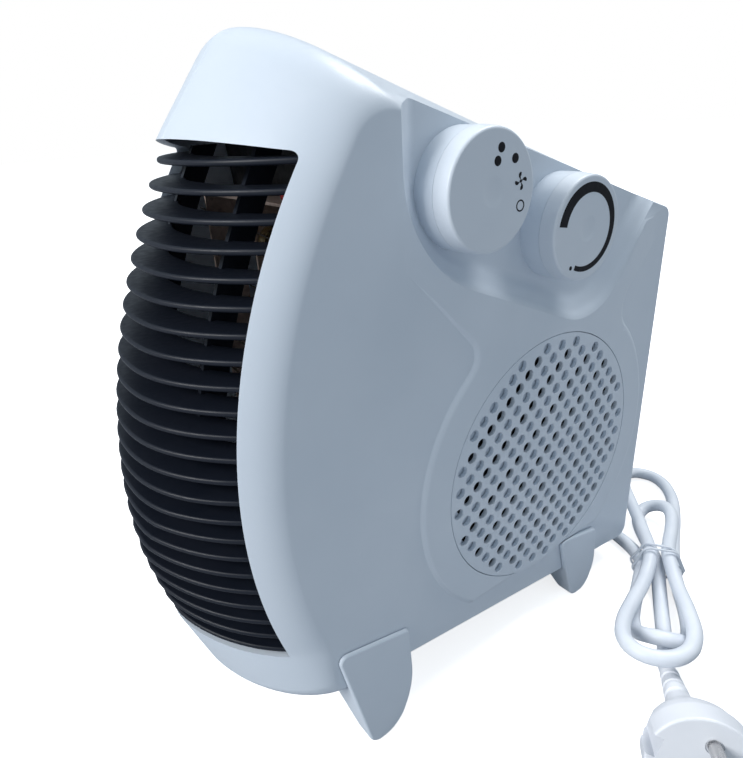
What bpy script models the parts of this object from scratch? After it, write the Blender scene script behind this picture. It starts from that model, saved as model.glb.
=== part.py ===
"""Upright fan heater: two moulded half shells, a bowed slatted air outlet, a perforated
intake disc, two control knobs, four wedge feet, and the blower, heating element and
switchgear inside. Sizes are in millimetres and become metres where meshes are made.
+X is the control side, -Y is the air outlet, +Z is up, and the feet stand on Z = 0."""

from math import atan2, cos, pi, radians, sin, sqrt, tan

import bmesh
import bpy
from mathutils import Matrix, Vector

MM = 0.001
GAP = 0.3                    # clearance between touching pieces

# Body, seen from the control side
HALF_WIDTH = 53.0            # middle plane to the flat side face
WALL = 2.4
SEAM = 0.3
FRONT_RADIUS = 195.0         # big arc of the outlet side
FRONT_Y = -119.8
FRONT_CENTRE_Z = 118.0
FRONT_LOW_DEG = -18.0
FRONT_HIGH_DEG = 38.0
FLAT_HIGH_DEG = 32.0         # the flat side's front edge stops lower than the front arc
BACK_Y = 124.0
TOP_BACK_Z = 192.5
TOP_SLOPE_DEG = 21.6
BOTTOM_BACK_Z = 9.1
BOTTOM_SLOPE_DEG = 3.7
TOP_FRONT_CORNER = 12.0
BACK_CORNER = 9.0
BOTTOM_FRONT_CORNER = 16.0
NOSE_POWER = 1.6             # how square the section between seam and side face is
NOSE_STEPS = 7
NOSE_DEPTH = 37.5            # front arc back to the flat side's front edge
FLAT_TOP_Y = -38.0
FLAT_TOP_FRONT = 18.0        # width of the rounded border of the flat side
FLAT_TOP_BACK = 4.3
FLAT_BACK = 5.5
FLAT_BOTTOM_FRONT = 14.5
FLAT_BOTTOM_BACK = 3.0

# Air outlet
OUTLET_LOW_Z = 61.0
OUTLET_HIGH_Z = 229.0
OUTLET_HALF_WIDTH = HALF_WIDTH - 6.5
OUTLET_CORNER = 5.0
SLAT_COUNT = 23
SLAT_THICK = 1.9
SLAT_DEPTH = 13.0
SLAT_EDGE_MARGIN = 3.2       # lowest slat to the opening's edge
SLAT_FRONT_Y = FRONT_Y + 2.1
SLAT_CENTRE_Z = 100.0
SLAT_ARC_RADIUS = 221.0
SLAT_BOW = 20.0              # how far a slat's ends lie behind its middle
RIB_X = 25.0
RIB_THICK = 2.2
RIB_SETBACK = 11.0           # from the slats' front edges
RIB_DEPTH = 9.0

# Raised panel and air intake
PANEL_RISE = 1.5
PANEL_RADIUS = 72.0
PANEL_WAIST_Z = 152.0
PANEL_WAIST_HALF = 47.0
INTAKE_Y = 42.1
INTAKE_Z = 93.1
INTAKE_RADIUS = 57.0
INTAKE_THICK = 2.0
HOLE_PITCH = 6.7
HOLE_RADIUS = 2.35
HOLE_SIDES = 6
HOLE_ROWS = (6, 10, 12, 14, 14, 16, 16, 16, 16, 16, 16, 14, 14, 12, 10, 6)
HOLE_TURN_DEG = 39.4
GUARD_BAR = 5.6              # bars behind every second row of holes

# Control recess and knobs
RECESS_DEPTH = 5.0
RECESS_DRAFT = 4.0
KNOB_RADIUS = 19.5
KNOB_HEIGHT = 5.8
KNOB_TAPER = 0.6
KNOB_EDGE = 1.2
KNOB_FACE_X = HALF_WIDTH + 10.0
FUNCTION_Y = -5.1
FUNCTION_Z = 211.5
THERMOSTAT_Y = 45.0
THERMOSTAT_Z = 193.0
SPINDLE_RADIUS = 3.0
SPINDLE_BORE = SPINDLE_RADIUS + GAP
SOCKET_DEPTH = 3.6

# Feet
FOOT_PROUD = 4.0
FOOT_INNER_X = HALF_WIDTH - 22.0
FOOT_TIP_X = HALF_WIDTH - 1.5

# Blower
FAN_RADIUS = 46.0
FAN_BACK_X = 13.5
FAN_WIDTH = 28.0
FAN_BLADES = 12
SHAFT_RADIUS = 2.0
SHAFT_BORE = SHAFT_RADIUS + GAP
STATOR_CENTRE_X = -8.5
STATOR_STACK = 20.0
ROTOR_RADIUS = 11.0
DUCT_WALL = 1.8

# Cord
CORD_DIAMETER = 7.0
GLAND_Z = 37.0
GLAND_LENGTH = 28.0

COLLECTION = "fan_heater"


def reset_scene():
    for obj in list(bpy.data.objects):
        bpy.data.objects.remove(obj, do_unlink=True)
    for name in (COLLECTION, "cutters"):
        old = bpy.data.collections.get(name)
        if old:
            bpy.data.collections.remove(old)
        bpy.context.scene.collection.children.link(bpy.data.collections.new(name))


def material(name, colour, roughness, metallic=0.0):
    found = bpy.data.materials.get(name)
    if found:
        return found
    made = bpy.data.materials.new(name)
    made.use_nodes = True
    made.diffuse_color = (*colour, 1.0)
    shader = made.node_tree.nodes["Principled BSDF"]
    shader.inputs["Base Color"].default_value = (*colour, 1.0)
    shader.inputs["Roughness"].default_value = roughness
    shader.inputs["Metallic"].default_value = metallic
    return made


def white_plastic():
    return material("white_plastic", (0.78, 0.83, 0.89), 0.38)


def black_plastic():
    return material("black_plastic", (0.018, 0.022, 0.032), 0.35)


def grey_plastic():
    return material("grey_plastic", (0.35, 0.36, 0.38), 0.5)


def mica():
    return material("mica", (0.36, 0.26, 0.2), 0.55)


def nichrome():
    return material("nichrome", (0.55, 0.52, 0.48), 0.35, 1.0)


def steel():
    return material("steel", (0.6, 0.61, 0.63), 0.32, 1.0)


def laminated_steel():
    return material("laminated_steel", (0.32, 0.33, 0.35), 0.45, 1.0)


def copper_winding():
    return material("copper_winding", (0.72, 0.33, 0.16), 0.4, 0.8)


def cord_pvc():
    return material("cord_pvc", (0.8, 0.83, 0.88), 0.42)


def red_sleeve():
    return material("red_sleeve", (0.5, 0.03, 0.03), 0.6)


def brass():
    return material("brass", (0.66, 0.55, 0.36), 0.3, 1.0)


def place(name, mesh, finish):
    """Link a finished piece, or a cutter when it has no finish."""
    obj = bpy.data.objects.new(name, mesh)
    if finish is None:
        bpy.data.collections["cutters"].objects.link(obj)
        obj.hide_render = True
        obj.display_type = "WIRE"
    else:
        bpy.data.collections[COLLECTION].objects.link(obj)
        mesh.materials.append(finish)
    return obj


def shade(mesh, angle=35.0):
    mesh.shade_smooth()
    mesh.set_sharp_from_angle(angle=radians(angle))


def from_bmesh(name, bm, finish):
    bmesh.ops.recalc_face_normals(bm, faces=bm.faces)
    mesh = bpy.data.meshes.new(name)
    bm.to_mesh(mesh)
    bm.free()
    shade(mesh)
    return place(name, mesh, finish)


def loft(name, rings, finish=None):
    """A solid through rings of equally many points, closed by a flat cap at each end. Its
    twisted quads are split alike from the middle outwards, so offset lofts stay parallel."""
    bm = bmesh.new()
    loops = [[bm.verts.new(Vector(point) * MM) for point in ring] for ring in rings]
    bm.faces.new(loops[0])
    bm.faces.new(loops[-1])
    for near, far in zip(loops, loops[1:]):
        if abs(near[0].co.x) > abs(far[0].co.x):
            near, far = far, near
        for i in range(len(near)):
            bm.faces.new((near[i - 1], near[i], far[i]))
            bm.faces.new((near[i - 1], far[i], far[i - 1]))
    return from_bmesh(name, bm, finish)


def prism(name, outline, push, finish=None):
    """A flat outline of 3-D points, pushed along a vector."""
    bm = bmesh.new()
    face = bm.faces.new([bm.verts.new(Vector(point) * MM) for point in outline])
    grown = bmesh.ops.extrude_face_region(bm, geom=[face])
    moved = [item for item in grown["geom"] if isinstance(item, bmesh.types.BMVert)]
    bmesh.ops.translate(bm, verts=moved, vec=Vector(push) * MM)
    return from_bmesh(name, bm, finish)


def prism_x(name, outline, low, high, finish=None):
    return prism(name, [(low, y, z) for y, z in outline], (high - low, 0, 0), finish)


def box(name, low, high, finish=None):
    low, high = Vector(low), Vector(high)
    bm = bmesh.new()
    bmesh.ops.create_cube(bm, size=1.0)
    bmesh.ops.scale(bm, vec=(high - low) * MM, verts=bm.verts)
    bmesh.ops.translate(bm, vec=(high + low) / 2 * MM, verts=bm.verts)
    return from_bmesh(name, bm, finish)


def rod(name, start, end, radius, sides, finish=None, end_radius=None):
    """A cylinder or cone between two points."""
    start, end = Vector(start) * MM, Vector(end) * MM
    along = end - start
    turn = along.to_track_quat("Z", "Y").to_matrix().to_4x4()
    bm = bmesh.new()
    bmesh.ops.create_cone(
        bm, cap_ends=True, segments=sides, radius1=radius * MM,
        radius2=(radius if end_radius is None else end_radius) * MM, depth=along.length,
        matrix=Matrix.Translation((start + end) / 2) @ turn)
    return from_bmesh(name, bm, finish)


def turned(name, profile, centre, direction, steps, finish=None):
    """A profile of (radius, height) points, listed from its low end up the outside, turned
    about an axis through the centre. The object's origin lies on that axis."""
    bm = bmesh.new()
    verts = [bm.verts.new((radius * MM, 0, height * MM)) for radius, height in reversed(profile)]
    for upper, lower in zip(verts, verts[1:]):
        bm.edges.new((upper, lower))
    mesh = bpy.data.meshes.new(name)
    bm.to_mesh(mesh)
    bm.free()
    obj = place(name, mesh, finish)
    obj.location = Vector(centre) * MM
    obj.rotation_euler = Vector(direction).to_track_quat("Z", "Y").to_euler()
    screw = obj.modifiers.new("turn", "SCREW")
    screw.axis = "Z"
    screw.steps = screw.render_steps = steps
    screw.use_merge_vertices = True
    screw.merge_threshold = 0.00001
    screw.use_smooth_shade = True
    return obj


def flat_plate(name, outlines, low, high, finish=None):
    """A plate in the YZ plane: the first outline is its edge and the others are holes."""
    curve = bpy.data.curves.new(name, "CURVE")
    curve.dimensions = "2D"
    curve.fill_mode = "BOTH"
    curve.extrude = (high - low) / 2 * MM
    for outline in outlines:
        spline = curve.splines.new("POLY")
        spline.points.add(len(outline) - 1)
        for point, (y, z) in zip(spline.points, outline):
            point.co = (y * MM, z * MM, 0, 1)
        spline.use_cyclic_u = True
    # Local X, Y, Z become world Y, Z, X
    turn = Matrix(((0, 0, 1, (high + low) / 2 * MM), (1, 0, 0, 0), (0, 1, 0, 0), (0, 0, 0, 1)))
    return mesh_from_curve(name, curve, turn, finish)


def mesh_from_curve(name, curve, turn, finish):
    guide = bpy.data.objects.new(name + "_guide", curve)
    bpy.context.scene.collection.objects.link(guide)
    evaluated = guide.evaluated_get(bpy.context.evaluated_depsgraph_get())
    mesh = bpy.data.meshes.new_from_object(evaluated)
    bpy.data.objects.remove(guide)
    bpy.data.curves.remove(curve)
    mesh.materials.clear()
    mesh.transform(turn)
    bm = bmesh.new()
    bm.from_mesh(mesh)
    bpy.data.meshes.remove(mesh)
    bmesh.ops.remove_doubles(bm, verts=bm.verts, dist=0.000001)
    return from_bmesh(name, bm, finish)


def tube(name, points, diameter, sides_level, finish, cyclic=False):
    """A round wire through the points."""
    curve = bpy.data.curves.new(name, "CURVE")
    curve.dimensions = "3D"
    curve.bevel_depth = diameter / 2 * MM
    curve.bevel_resolution = sides_level
    curve.use_fill_caps = not cyclic
    spline = curve.splines.new("POLY")
    spline.points.add(len(points) - 1)
    for point, place_at in zip(spline.points, points):
        point.co = (*(Vector(place_at) * MM), 1)
    spline.use_cyclic_u = cyclic
    return mesh_from_curve(name, curve, Matrix.Identity(4), finish)


def combine(obj, tool, operation="DIFFERENCE", own_overlaps=False):
    step = obj.modifiers.new(tool.name, "BOOLEAN")
    step.operation = operation
    step.solver = "EXACT"
    step.use_self = own_overlaps
    step.object = tool
    return obj


def join(name, pieces, finish=None):
    """Several separate solids in one object, for one Boolean."""
    bm = bmesh.new()
    for piece in pieces:
        bm.from_mesh(piece.data)
        old = piece.data
        bpy.data.objects.remove(piece)
        bpy.data.meshes.remove(old)
    return from_bmesh(name, bm, finish)


def circle(y, z, radius, sides, start_deg=0.0):
    return [(y + radius * cos(radians(start_deg) + 2 * pi * i / sides),
             z + radius * sin(radians(start_deg) + 2 * pi * i / sides)) for i in range(sides)]


def meet(point, direction, other, other_direction):
    """Where two lines in a plane cross."""
    (py, pz), (dy, dz) = point, direction
    (qy, qz), (ey, ez) = other, other_direction
    scale = ((qy - py) * ez - (qz - pz) * ey) / (dy * ez - dz * ey)
    return py + dy * scale, pz + dz * scale


def fillet(before, corner, after, radius, segments):
    """Points of the arc that rounds a corner."""
    corner = Vector(corner)
    to_before = (Vector(before) - corner).normalized()
    to_after = (Vector(after) - corner).normalized()
    half = to_before.angle(to_after) / 2
    centre = corner + (to_before + to_after).normalized() * radius / sin(half)
    start = corner + to_before * radius / tan(half) - centre
    end = corner + to_after * radius / tan(half) - centre
    turn = atan2(start.x * end.y - start.y * end.x, start.dot(end))
    points = []
    for i in range(segments + 1):
        angle = turn * i / segments
        points.append((centre.x + start.x * cos(angle) - start.y * sin(angle),
                       centre.y + start.x * sin(angle) + start.y * cos(angle)))
    return points


def rounded(corners):
    """An outline with every corner (y, z, radius, segments) rounded."""
    points = []
    for i, (y, z, radius, segments) in enumerate(corners):
        before = corners[i - 1][:2]
        after = corners[(i + 1) % len(corners)][:2]
        points += fillet(before, (y, z), after, radius, segments)
    return points


def top_z(y, inset=0.0):
    slope = tan(radians(TOP_SLOPE_DEG))
    return TOP_BACK_Z + (BACK_Y - y) * slope - inset / cos(radians(TOP_SLOPE_DEG))


def bottom_z(y, inset=0.0):
    slope = tan(radians(BOTTOM_SLOPE_DEG))
    return BOTTOM_BACK_Z + (BACK_Y - y) * slope + inset / cos(radians(BOTTOM_SLOPE_DEG))


def front_y(z, inset=0.0):
    """The outlet side's arc in the middle plane."""
    radius = FRONT_RADIUS - inset
    return FRONT_Y + FRONT_RADIUS - sqrt(radius ** 2 - (z - FRONT_CENTRE_Z) ** 2)


FRONT_SEGMENTS = 11


def outer_outline(inset):
    """The body's outline in the middle plane, upwards along the front and round."""
    radius = FRONT_RADIUS - inset
    centre_y = FRONT_Y + FRONT_RADIUS
    arc = []
    for i in range(FRONT_SEGMENTS + 1):
        angle = radians(FRONT_LOW_DEG + (FRONT_HIGH_DEG - FRONT_LOW_DEG) * i / FRONT_SEGMENTS)
        arc.append((centre_y - radius * cos(angle), FRONT_CENTRE_Z + radius * sin(angle)))
    low, high = radians(FRONT_LOW_DEG), radians(FRONT_HIGH_DEG)
    top_run = (1, -tan(radians(TOP_SLOPE_DEG)))
    bottom_run = (1, -tan(radians(BOTTOM_SLOPE_DEG)))
    back = BACK_Y - inset
    top_front = meet(arc[-1], (sin(high), cos(high)), (0, top_z(0, inset)), top_run)
    bottom_front = meet(arc[0], (sin(low), cos(low)), (0, bottom_z(0, inset)), bottom_run)
    top_back = (back, top_z(back, inset))
    bottom_back = (back, bottom_z(back, inset))
    return (arc
            + fillet(arc[-1], top_front, top_back, TOP_FRONT_CORNER - inset, 4)
            + fillet(top_front, top_back, bottom_back, BACK_CORNER - inset, 3)
            + fillet(top_back, bottom_back, bottom_front, BACK_CORNER - inset, 3)
            + fillet(bottom_back, bottom_front, arc[0], BOTTOM_FRONT_CORNER - inset, 5)[:-1])


def flat_outline(inset):
    """The edge of the flat side face, point for point beside the outer outline."""
    back = BACK_Y - FLAT_BACK - inset
    centre_y = FRONT_Y + FRONT_RADIUS
    edge = []
    for i in range(FRONT_SEGMENTS + 1):
        angle = radians(FRONT_LOW_DEG + (FLAT_HIGH_DEG - FRONT_LOW_DEG) * i / FRONT_SEGMENTS)
        edge.append((centre_y - FRONT_RADIUS * cos(angle) + NOSE_DEPTH + inset,
                     FRONT_CENTRE_Z + FRONT_RADIUS * sin(angle)))
    low_y, rise = edge[0][0] + 1.0, radians(FLAT_HIGH_DEG)
    top_back = (back, top_z(back, FLAT_TOP_BACK + inset))
    top_over = (FLAT_TOP_Y, top_z(FLAT_TOP_Y, FLAT_TOP_FRONT + inset))
    top_front = meet(edge[-1], (sin(rise), cos(rise)), top_over,
                     (top_back[0] - top_over[0], top_back[1] - top_over[1]))
    bottom_back = (back, bottom_z(back, FLAT_BOTTOM_BACK + inset))
    bottom_front = (low_y, min(bottom_z(low_y, FLAT_BOTTOM_FRONT + inset), edge[0][1] - 4.0))
    return (edge
            + fillet(edge[-1], top_front, top_back, 14.0 + inset, 4)
            + fillet(top_front, top_back, bottom_back, 5.0, 3)
            + fillet(top_back, bottom_back, bottom_front, 5.0, 3)
            + fillet(bottom_back, bottom_front, edge[0], 9.0, 5)[:-1])


def nose_share(x, half_width=HALF_WIDTH):
    """How far, from 0 at the seam to 1 on the flat side, the surface has drawn in at x."""
    ratio = min(abs(x) / half_width, 1.0)
    return 1 - (1 - ratio ** NOSE_POWER) ** (1 / NOSE_POWER)


def body_rings(side, inset=0.0, start=SEAM / 2):
    """Rings from the seam out to one side face, following the rounded nose."""
    outer = outer_outline(inset)
    flat = flat_outline(inset * 0.5)
    half = HALF_WIDTH - inset
    rings = [[(side * start, y, z) for y, z in outer]]
    for step in range(1, NOSE_STEPS + 1):
        angle = pi / 2 * step / NOSE_STEPS
        x = half * sin(angle) ** (2 / NOSE_POWER)
        share = 1 - max(cos(angle), 0.0) ** (2 / NOSE_POWER)
        rings.append([(side * x, yo + (yf - yo) * share, zo + (zf - zo) * share)
                      for (yo, zo), (yf, zf) in zip(outer, flat)])
    return rings


def nose_y(x, z, inset=0.0):
    """The nose's surface between the front arc and the flat side."""
    share = nose_share(x, HALF_WIDTH - inset)
    outer = front_y(z, inset)
    return outer + (NOSE_DEPTH - inset * 0.5) * share


def signed_area(points):
    return sum(a[0] * b[1] - b[0] * a[1] for a, b in zip(points, points[1:] + points[:1])) / 2


def offset_outline(points, distance):
    """The same outline, point for point, grown outwards by a distance."""
    way = 1 if signed_area(points) > 0 else -1
    grown = []
    for i, (y, z) in enumerate(points):
        before, after = points[i - 1], points[(i + 1) % len(points)]
        into = Vector((y - before[0], z - before[1])).normalized()
        out = Vector((after[0] - y, after[1] - z)).normalized()
        along = (into + out).normalized()
        stretch = distance / max(along.dot(out), 0.5)
        grown.append((y + way * along.y * stretch, z - way * along.x * stretch))
    return grown


# The control recess: a scoop through the top edge with a lip parallel to the knob row
RECESS_LEFT_Y = -31.5
RECESS_LIP_Z = 162.2         # lip's height over the intake's centre
RECESS_LIP_DEG = -23.2
RECESS_LEFT_CORNER = 40.0
RECESS_RIGHT_CORNER = 25.0
RECESS_RIGHT_DEG = 49.5
RECESS_RIGHT_Y = 102.0       # where the right wall passes the height of the thermostat knob
RECESS_PROFILE = ((4.0, 6.5), (0.4, 2.6), (-0.8, 1.1), (-2.6, 0.2))


def recess_outline():
    row = (cos(radians(RECESS_LIP_DEG)), sin(radians(RECESS_LIP_DEG)))
    lip = (INTAKE_Y, RECESS_LIP_Z)
    wall = (cos(radians(RECESS_RIGHT_DEG)), sin(radians(RECESS_RIGHT_DEG)))
    left = meet(lip, row, (RECESS_LEFT_Y, 0), (0, 1))
    right = meet(lip, row, (RECESS_RIGHT_Y, THERMOSTAT_Z), wall)
    above = 30.0
    far_y = BACK_Y + 10.0
    far = (far_y, right[1] + (far_y - right[0]) * wall[1] / wall[0])
    left_top = (RECESS_LEFT_Y, top_z(RECESS_LEFT_Y) + above)
    return ([left_top] + fillet(left_top, left, right, RECESS_LEFT_CORNER, 6)
            + fillet(left, right, far, RECESS_RIGHT_CORNER, 5) + [far])


def recess_tool(name, grow, floor_x):
    """A scoop whose sides draw in towards a filleted floor."""
    face = HALF_WIDTH + PANEL_RISE
    outline = recess_outline()
    levels = [(face + rise, spread + grow) for rise, spread in RECESS_PROFILE]
    levels += [(floor_x + 3.0, grow - RECESS_DRAFT * 0.6), (floor_x + 1.0, grow - RECESS_DRAFT),
               (floor_x, grow - RECESS_DRAFT - 2.2)]
    return loft(name, [[(x, y, z) for y, z in offset_outline(outline, spread)]
                       for x, spread in levels])


def recess_floor_x():
    return HALF_WIDTH - RECESS_DEPTH


def panel_outline():
    """The raised hourglass round the intake: a circle, a waist, and a flare to the recess."""
    start = 305.0
    points = []
    arc = [(INTAKE_Y + PANEL_RADIUS * cos(radians(a)), INTAKE_Z + PANEL_RADIUS * sin(radians(a)))
           for a in range(-52, 41, 9)]
    waist_right = (INTAKE_Y + PANEL_WAIST_HALF - 1.0, PANEL_WAIST_Z)
    waist_left = (INTAKE_Y - PANEL_WAIST_HALF - 1.0, PANEL_WAIST_Z)
    flare_right = (INTAKE_Y + PANEL_WAIST_HALF + 13.0, PANEL_WAIST_Z + 26.0)
    flare_left = (INTAKE_Y - PANEL_WAIST_HALF - 34.0, PANEL_WAIST_Z + 48.0)
    points += arc
    points += fillet(arc[-1], waist_right, flare_right, 18.0, 3)
    points += [flare_right, (INTAKE_Y + 20.0, PANEL_WAIST_Z + 30.0),
               (INTAKE_Y - 30.0, PANEL_WAIST_Z + 45.0), (flare_left[0] + 6.0, flare_left[1] + 4.0),
               flare_left]
    mirrored = [(2 * INTAKE_Y - y, z) for y, z in reversed(arc)]
    points += fillet(flare_left, waist_left, mirrored[0], 18.0, 3)
    points += mirrored
    return points


def panel_tool(name, outline, side, grow=0.0):
    levels = ((-0.8, 0.0), (PANEL_RISE * 0.35, -0.2), (PANEL_RISE * 0.8, -0.9), (PANEL_RISE, -2.0))
    return loft(name, [[(side * (HALF_WIDTH + rise + grow), y, z)
                        for y, z in offset_outline(outline, spread + grow)] for rise, spread in levels])


def outlet_tool():
    half = OUTLET_HALF_WIDTH
    outline = rounded([(-half, OUTLET_LOW_Z, 1.0, 1), (half, OUTLET_LOW_Z, 1.0, 1),
                       (half, OUTLET_HIGH_Z, OUTLET_CORNER, 4), (-half, OUTLET_HIGH_Z, OUTLET_CORNER, 4)])
    return prism("outlet_opening", [(x, FRONT_Y - 10.0, z) for x, z in outline], (0, 76.0, 0))


def row_offset(row):
    return (row - (len(HOLE_ROWS) - 1) / 2) * HOLE_PITCH


def hole_centres():
    """Holes on a square lattice, turned so that its rows rise towards the back."""
    turn = radians(HOLE_TURN_DEG)
    centres = []
    for row, count in enumerate(HOLE_ROWS):
        for i in range(count):
            along, across = (i - (count - 1) / 2) * HOLE_PITCH, row_offset(row)
            centres.append((INTAKE_Y + along * cos(turn) + across * sin(turn),
                            INTAKE_Z + along * sin(turn) - across * cos(turn)))
    return centres


def guard_slots():
    """Slots in the intake pocket behind every second row of holes, with bars between them."""
    turn = radians(HOLE_TURN_DEG)
    rim = INTAKE_RADIUS - 2.5
    slots = []
    for row in range(1, len(HOLE_ROWS), 2):
        middle = row_offset(row)
        half = HOLE_PITCH - GUARD_BAR / 2
        low, high = max(middle - half, 2.0 - rim), min(middle + half, rim - 2.0)
        reach = sqrt(rim ** 2 - max(abs(low), abs(high)) ** 2)
        corners = [(-reach, low), (reach, low), (reach, high), (-reach, high)]
        slots.append(prism_x("slot", [
            (INTAKE_Y + a * cos(turn) + b * sin(turn), INTAKE_Z + a * sin(turn) - b * cos(turn))
            for a, b in corners], HALF_WIDTH - 8.0, HALF_WIDTH + 4.0))
    return join("guard_slots", slots)


# Screws that hold the shells together: place and the way its boss leans on the wall
SCREW_SITES = ((-40.0, 242.0, 70.0, 10.0), (115.0, 178.0, 0.0, 7.0), (115.0, 58.0, 0.0, 7.0),
               (-62.0, 32.0, 264.0, 7.0))
BOSS_RADIUS = 4.6
BOSS_REACH = 24.0
SCREW_RADIUS = 1.5
SCREW_HEAD_RADIUS = 3.2
SCREW_ACCESS_RADIUS = 4.0


def boss_outline(y, z, lean_deg, lean):
    """A U-shaped boss whose legs run into the wall."""
    turn = radians(lean_deg)
    outline = [(lean, -BOSS_RADIUS), (lean, BOSS_RADIUS)]
    outline += [(BOSS_RADIUS * cos(radians(a)), BOSS_RADIUS * sin(radians(a)))
                for a in range(90, 271, 36)]
    return [(y + u * cos(turn) - v * sin(turn), z + u * sin(turn) + v * cos(turn))
            for u, v in outline]


def screw_bosses(side):
    ends = sorted((side * (SEAM / 2 + GAP), side * BOSS_REACH))
    return join("bosses", [prism_x("boss", boss_outline(*site), *ends) for site in SCREW_SITES])


def screw_holes(name, radius, low, high):
    return join(name, [rod("hole", (low, y, z), (high, y, z), radius, 8)
                       for y, z, _, _ in SCREW_SITES])


def gland_hole():
    return rod("gland_hole", (0, BACK_Y - 12.0, GLAND_Z), (0, BACK_Y + 5.0, GLAND_Z),
               GLAND_HOLE_RADIUS, 16)


GLAND_HOLE_RADIUS = 6.6
POST_SPREAD = 20.0           # motor posts either side of the shaft


def cavity(side):
    return loft("cavity", body_rings(side, WALL, -4.0))


def right_housing():
    shell = loft("right_housing", body_rings(1), white_plastic())
    combine(shell, panel_tool("panel", panel_outline(), 1), "UNION")
    combine(shell, recess_tool("recess", 0.0, recess_floor_x()))
    inside = cavity(1)
    combine(inside, recess_tool("recess_back", WALL, recess_floor_x() - WALL))
    combine(shell, inside)
    combine(shell, outlet_tool())
    combine(shell, rod("intake_pocket", (HALF_WIDTH + PANEL_RISE - INTAKE_THICK - GAP, INTAKE_Y, INTAKE_Z),
                       (HALF_WIDTH + 8.0, INTAKE_Y, INTAKE_Z), INTAKE_RADIUS + GAP, 40))
    combine(shell, guard_slots())
    seat = KNOB_FACE_X - KNOB_HEIGHT - 2 * GAP
    collars = [rod("collar", (recess_floor_x() - 1.0, y, z), (seat, y, z), KNOB_RADIUS, 24) for y, z in KNOB_SITES]
    combine(shell, join("collars", collars), "UNION")
    bores = [rod("bore", (recess_floor_x() - WALL - 2.0, y, z), (KNOB_FACE_X, y, z),
                 SPINDLE_BORE, 12) for y, z in KNOB_SITES]
    combine(shell, join("spindle_bores", bores))
    combine(shell, screw_bosses(1), "UNION")
    combine(shell, screw_holes("pilot_holes", SCREW_RADIUS + GAP, -2.0, BOSS_REACH - 4.0))
    combine(shell, gland_hole())
    return shell


VENT_ROWS = 3                # slots above and below the motor posts
VENT_RADIUS = 30.0
VENT_WIDTH = 4.0
VENT_PITCH = 8.0


def left_housing():
    shell = loft("left_housing", body_rings(-1), white_plastic())
    combine(shell, panel_tool("vent_panel", circle(INTAKE_Y, INTAKE_Z, VENT_RADIUS + 12.0, 36), -1), "UNION")
    combine(shell, cavity(-1))
    combine(shell, outlet_tool())
    slots = []
    for i in range(-VENT_ROWS, VENT_ROWS + 1):
        if i == 0:
            continue
        z = INTAKE_Z + i * VENT_PITCH
        reach = sqrt(VENT_RADIUS ** 2 - (abs(z - INTAKE_Z) + VENT_WIDTH / 2) ** 2)
        slots.append(box("vent", (-HALF_WIDTH - 5.0, INTAKE_Y - reach, z - VENT_WIDTH / 2),
                         (-HALF_WIDTH + 8.0, INTAKE_Y + reach, z + VENT_WIDTH / 2)))
    combine(shell, join("vents", slots))
    posts = [rod("post", (WALL * 0.5 - HALF_WIDTH, INTAKE_Y + way * POST_SPREAD, INTAKE_Z + POST_RISE),
                 (motor_left_x() - GAP, INTAKE_Y + way * POST_SPREAD, INTAKE_Z + POST_RISE), 4.0, 12)
             for way in (-1, 1)]
    combine(shell, join("posts", posts), "UNION")
    combine(shell, screw_bosses(-1), "UNION")
    combine(shell, screw_holes("shank_holes", SCREW_RADIUS + GAP, -BOSS_REACH - 2.0, 2.0))
    combine(shell, screw_holes("access_holes", SCREW_ACCESS_RADIUS, -HALF_WIDTH - 5.0, -BOSS_REACH - 0.1))
    combine(shell, gland_hole())
    return shell


POST_RISE = 0.0
KNOB_SITES = ((FUNCTION_Y, FUNCTION_Z), (THERMOSTAT_Y, THERMOSTAT_Z))


def housing_screws():
    """Head against the left boss, shank through to the right one."""
    for i, (y, z, _, _) in enumerate(SCREW_SITES):
        seat = -BOSS_REACH - GAP
        profile = [(0, 0), (SCREW_HEAD_RADIUS, 0), (SCREW_HEAD_RADIUS, 1.2), (SCREW_RADIUS, 2.2),
                   (SCREW_RADIUS, 2.2 + BOSS_REACH * 1.6), (0, 3.4 + BOSS_REACH * 1.6)]
        turned(f"housing_screw_{i + 1}", profile, (seat - 2.2, y, z), (1, 0, 0), 8, steel())


def slat_z(i):
    first = OUTLET_LOW_Z + SLAT_EDGE_MARGIN
    last = OUTLET_HIGH_Z - 2 * SLAT_EDGE_MARGIN
    return first + (last - first) * i / (SLAT_COUNT - 1)


SLAT_SEGMENTS = 6


def slat_y(x, z):
    """Front edge of the slats: bowed more than the housing's nose, and never proud of it."""
    arc = SLAT_FRONT_Y + (z - SLAT_CENTRE_Z) ** 2 / (2 * SLAT_ARC_RADIUS)
    bow = SLAT_BOW * (abs(x) / OUTLET_HALF_WIDTH) ** 2.3
    return max(arc + bow, nose_y(x, z) + 0.5)


def slat_outline(z):
    """Plan of one slat, a strip of even depth."""
    reach = OUTLET_HALF_WIDTH - GAP
    outer = []
    for i in range(SLAT_SEGMENTS + 1):
        x = reach * sin(pi * (i / SLAT_SEGMENTS - 0.5))
        outer.append((x, slat_y(x, z)))
    inner = [(x, y + SLAT_DEPTH) for x, y in reversed(outer)]
    return outer + inner


def upright(name, x, thick, setback, depth):
    """A plate that follows the outlet's bow from the bottom slat to above the top one."""
    low, high = OUTLET_LOW_Z + GAP, OUTLET_HIGH_Z - GAP
    heights = [low + (high - low) * i / 5 for i in range(6)]
    front = [(slat_y(x, z) + setback, z) for z in heights]
    back = [(y + depth, z) for y, z in reversed(front)]
    return prism_x(name, front + back, x - thick / 2, x + thick / 2)


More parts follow.
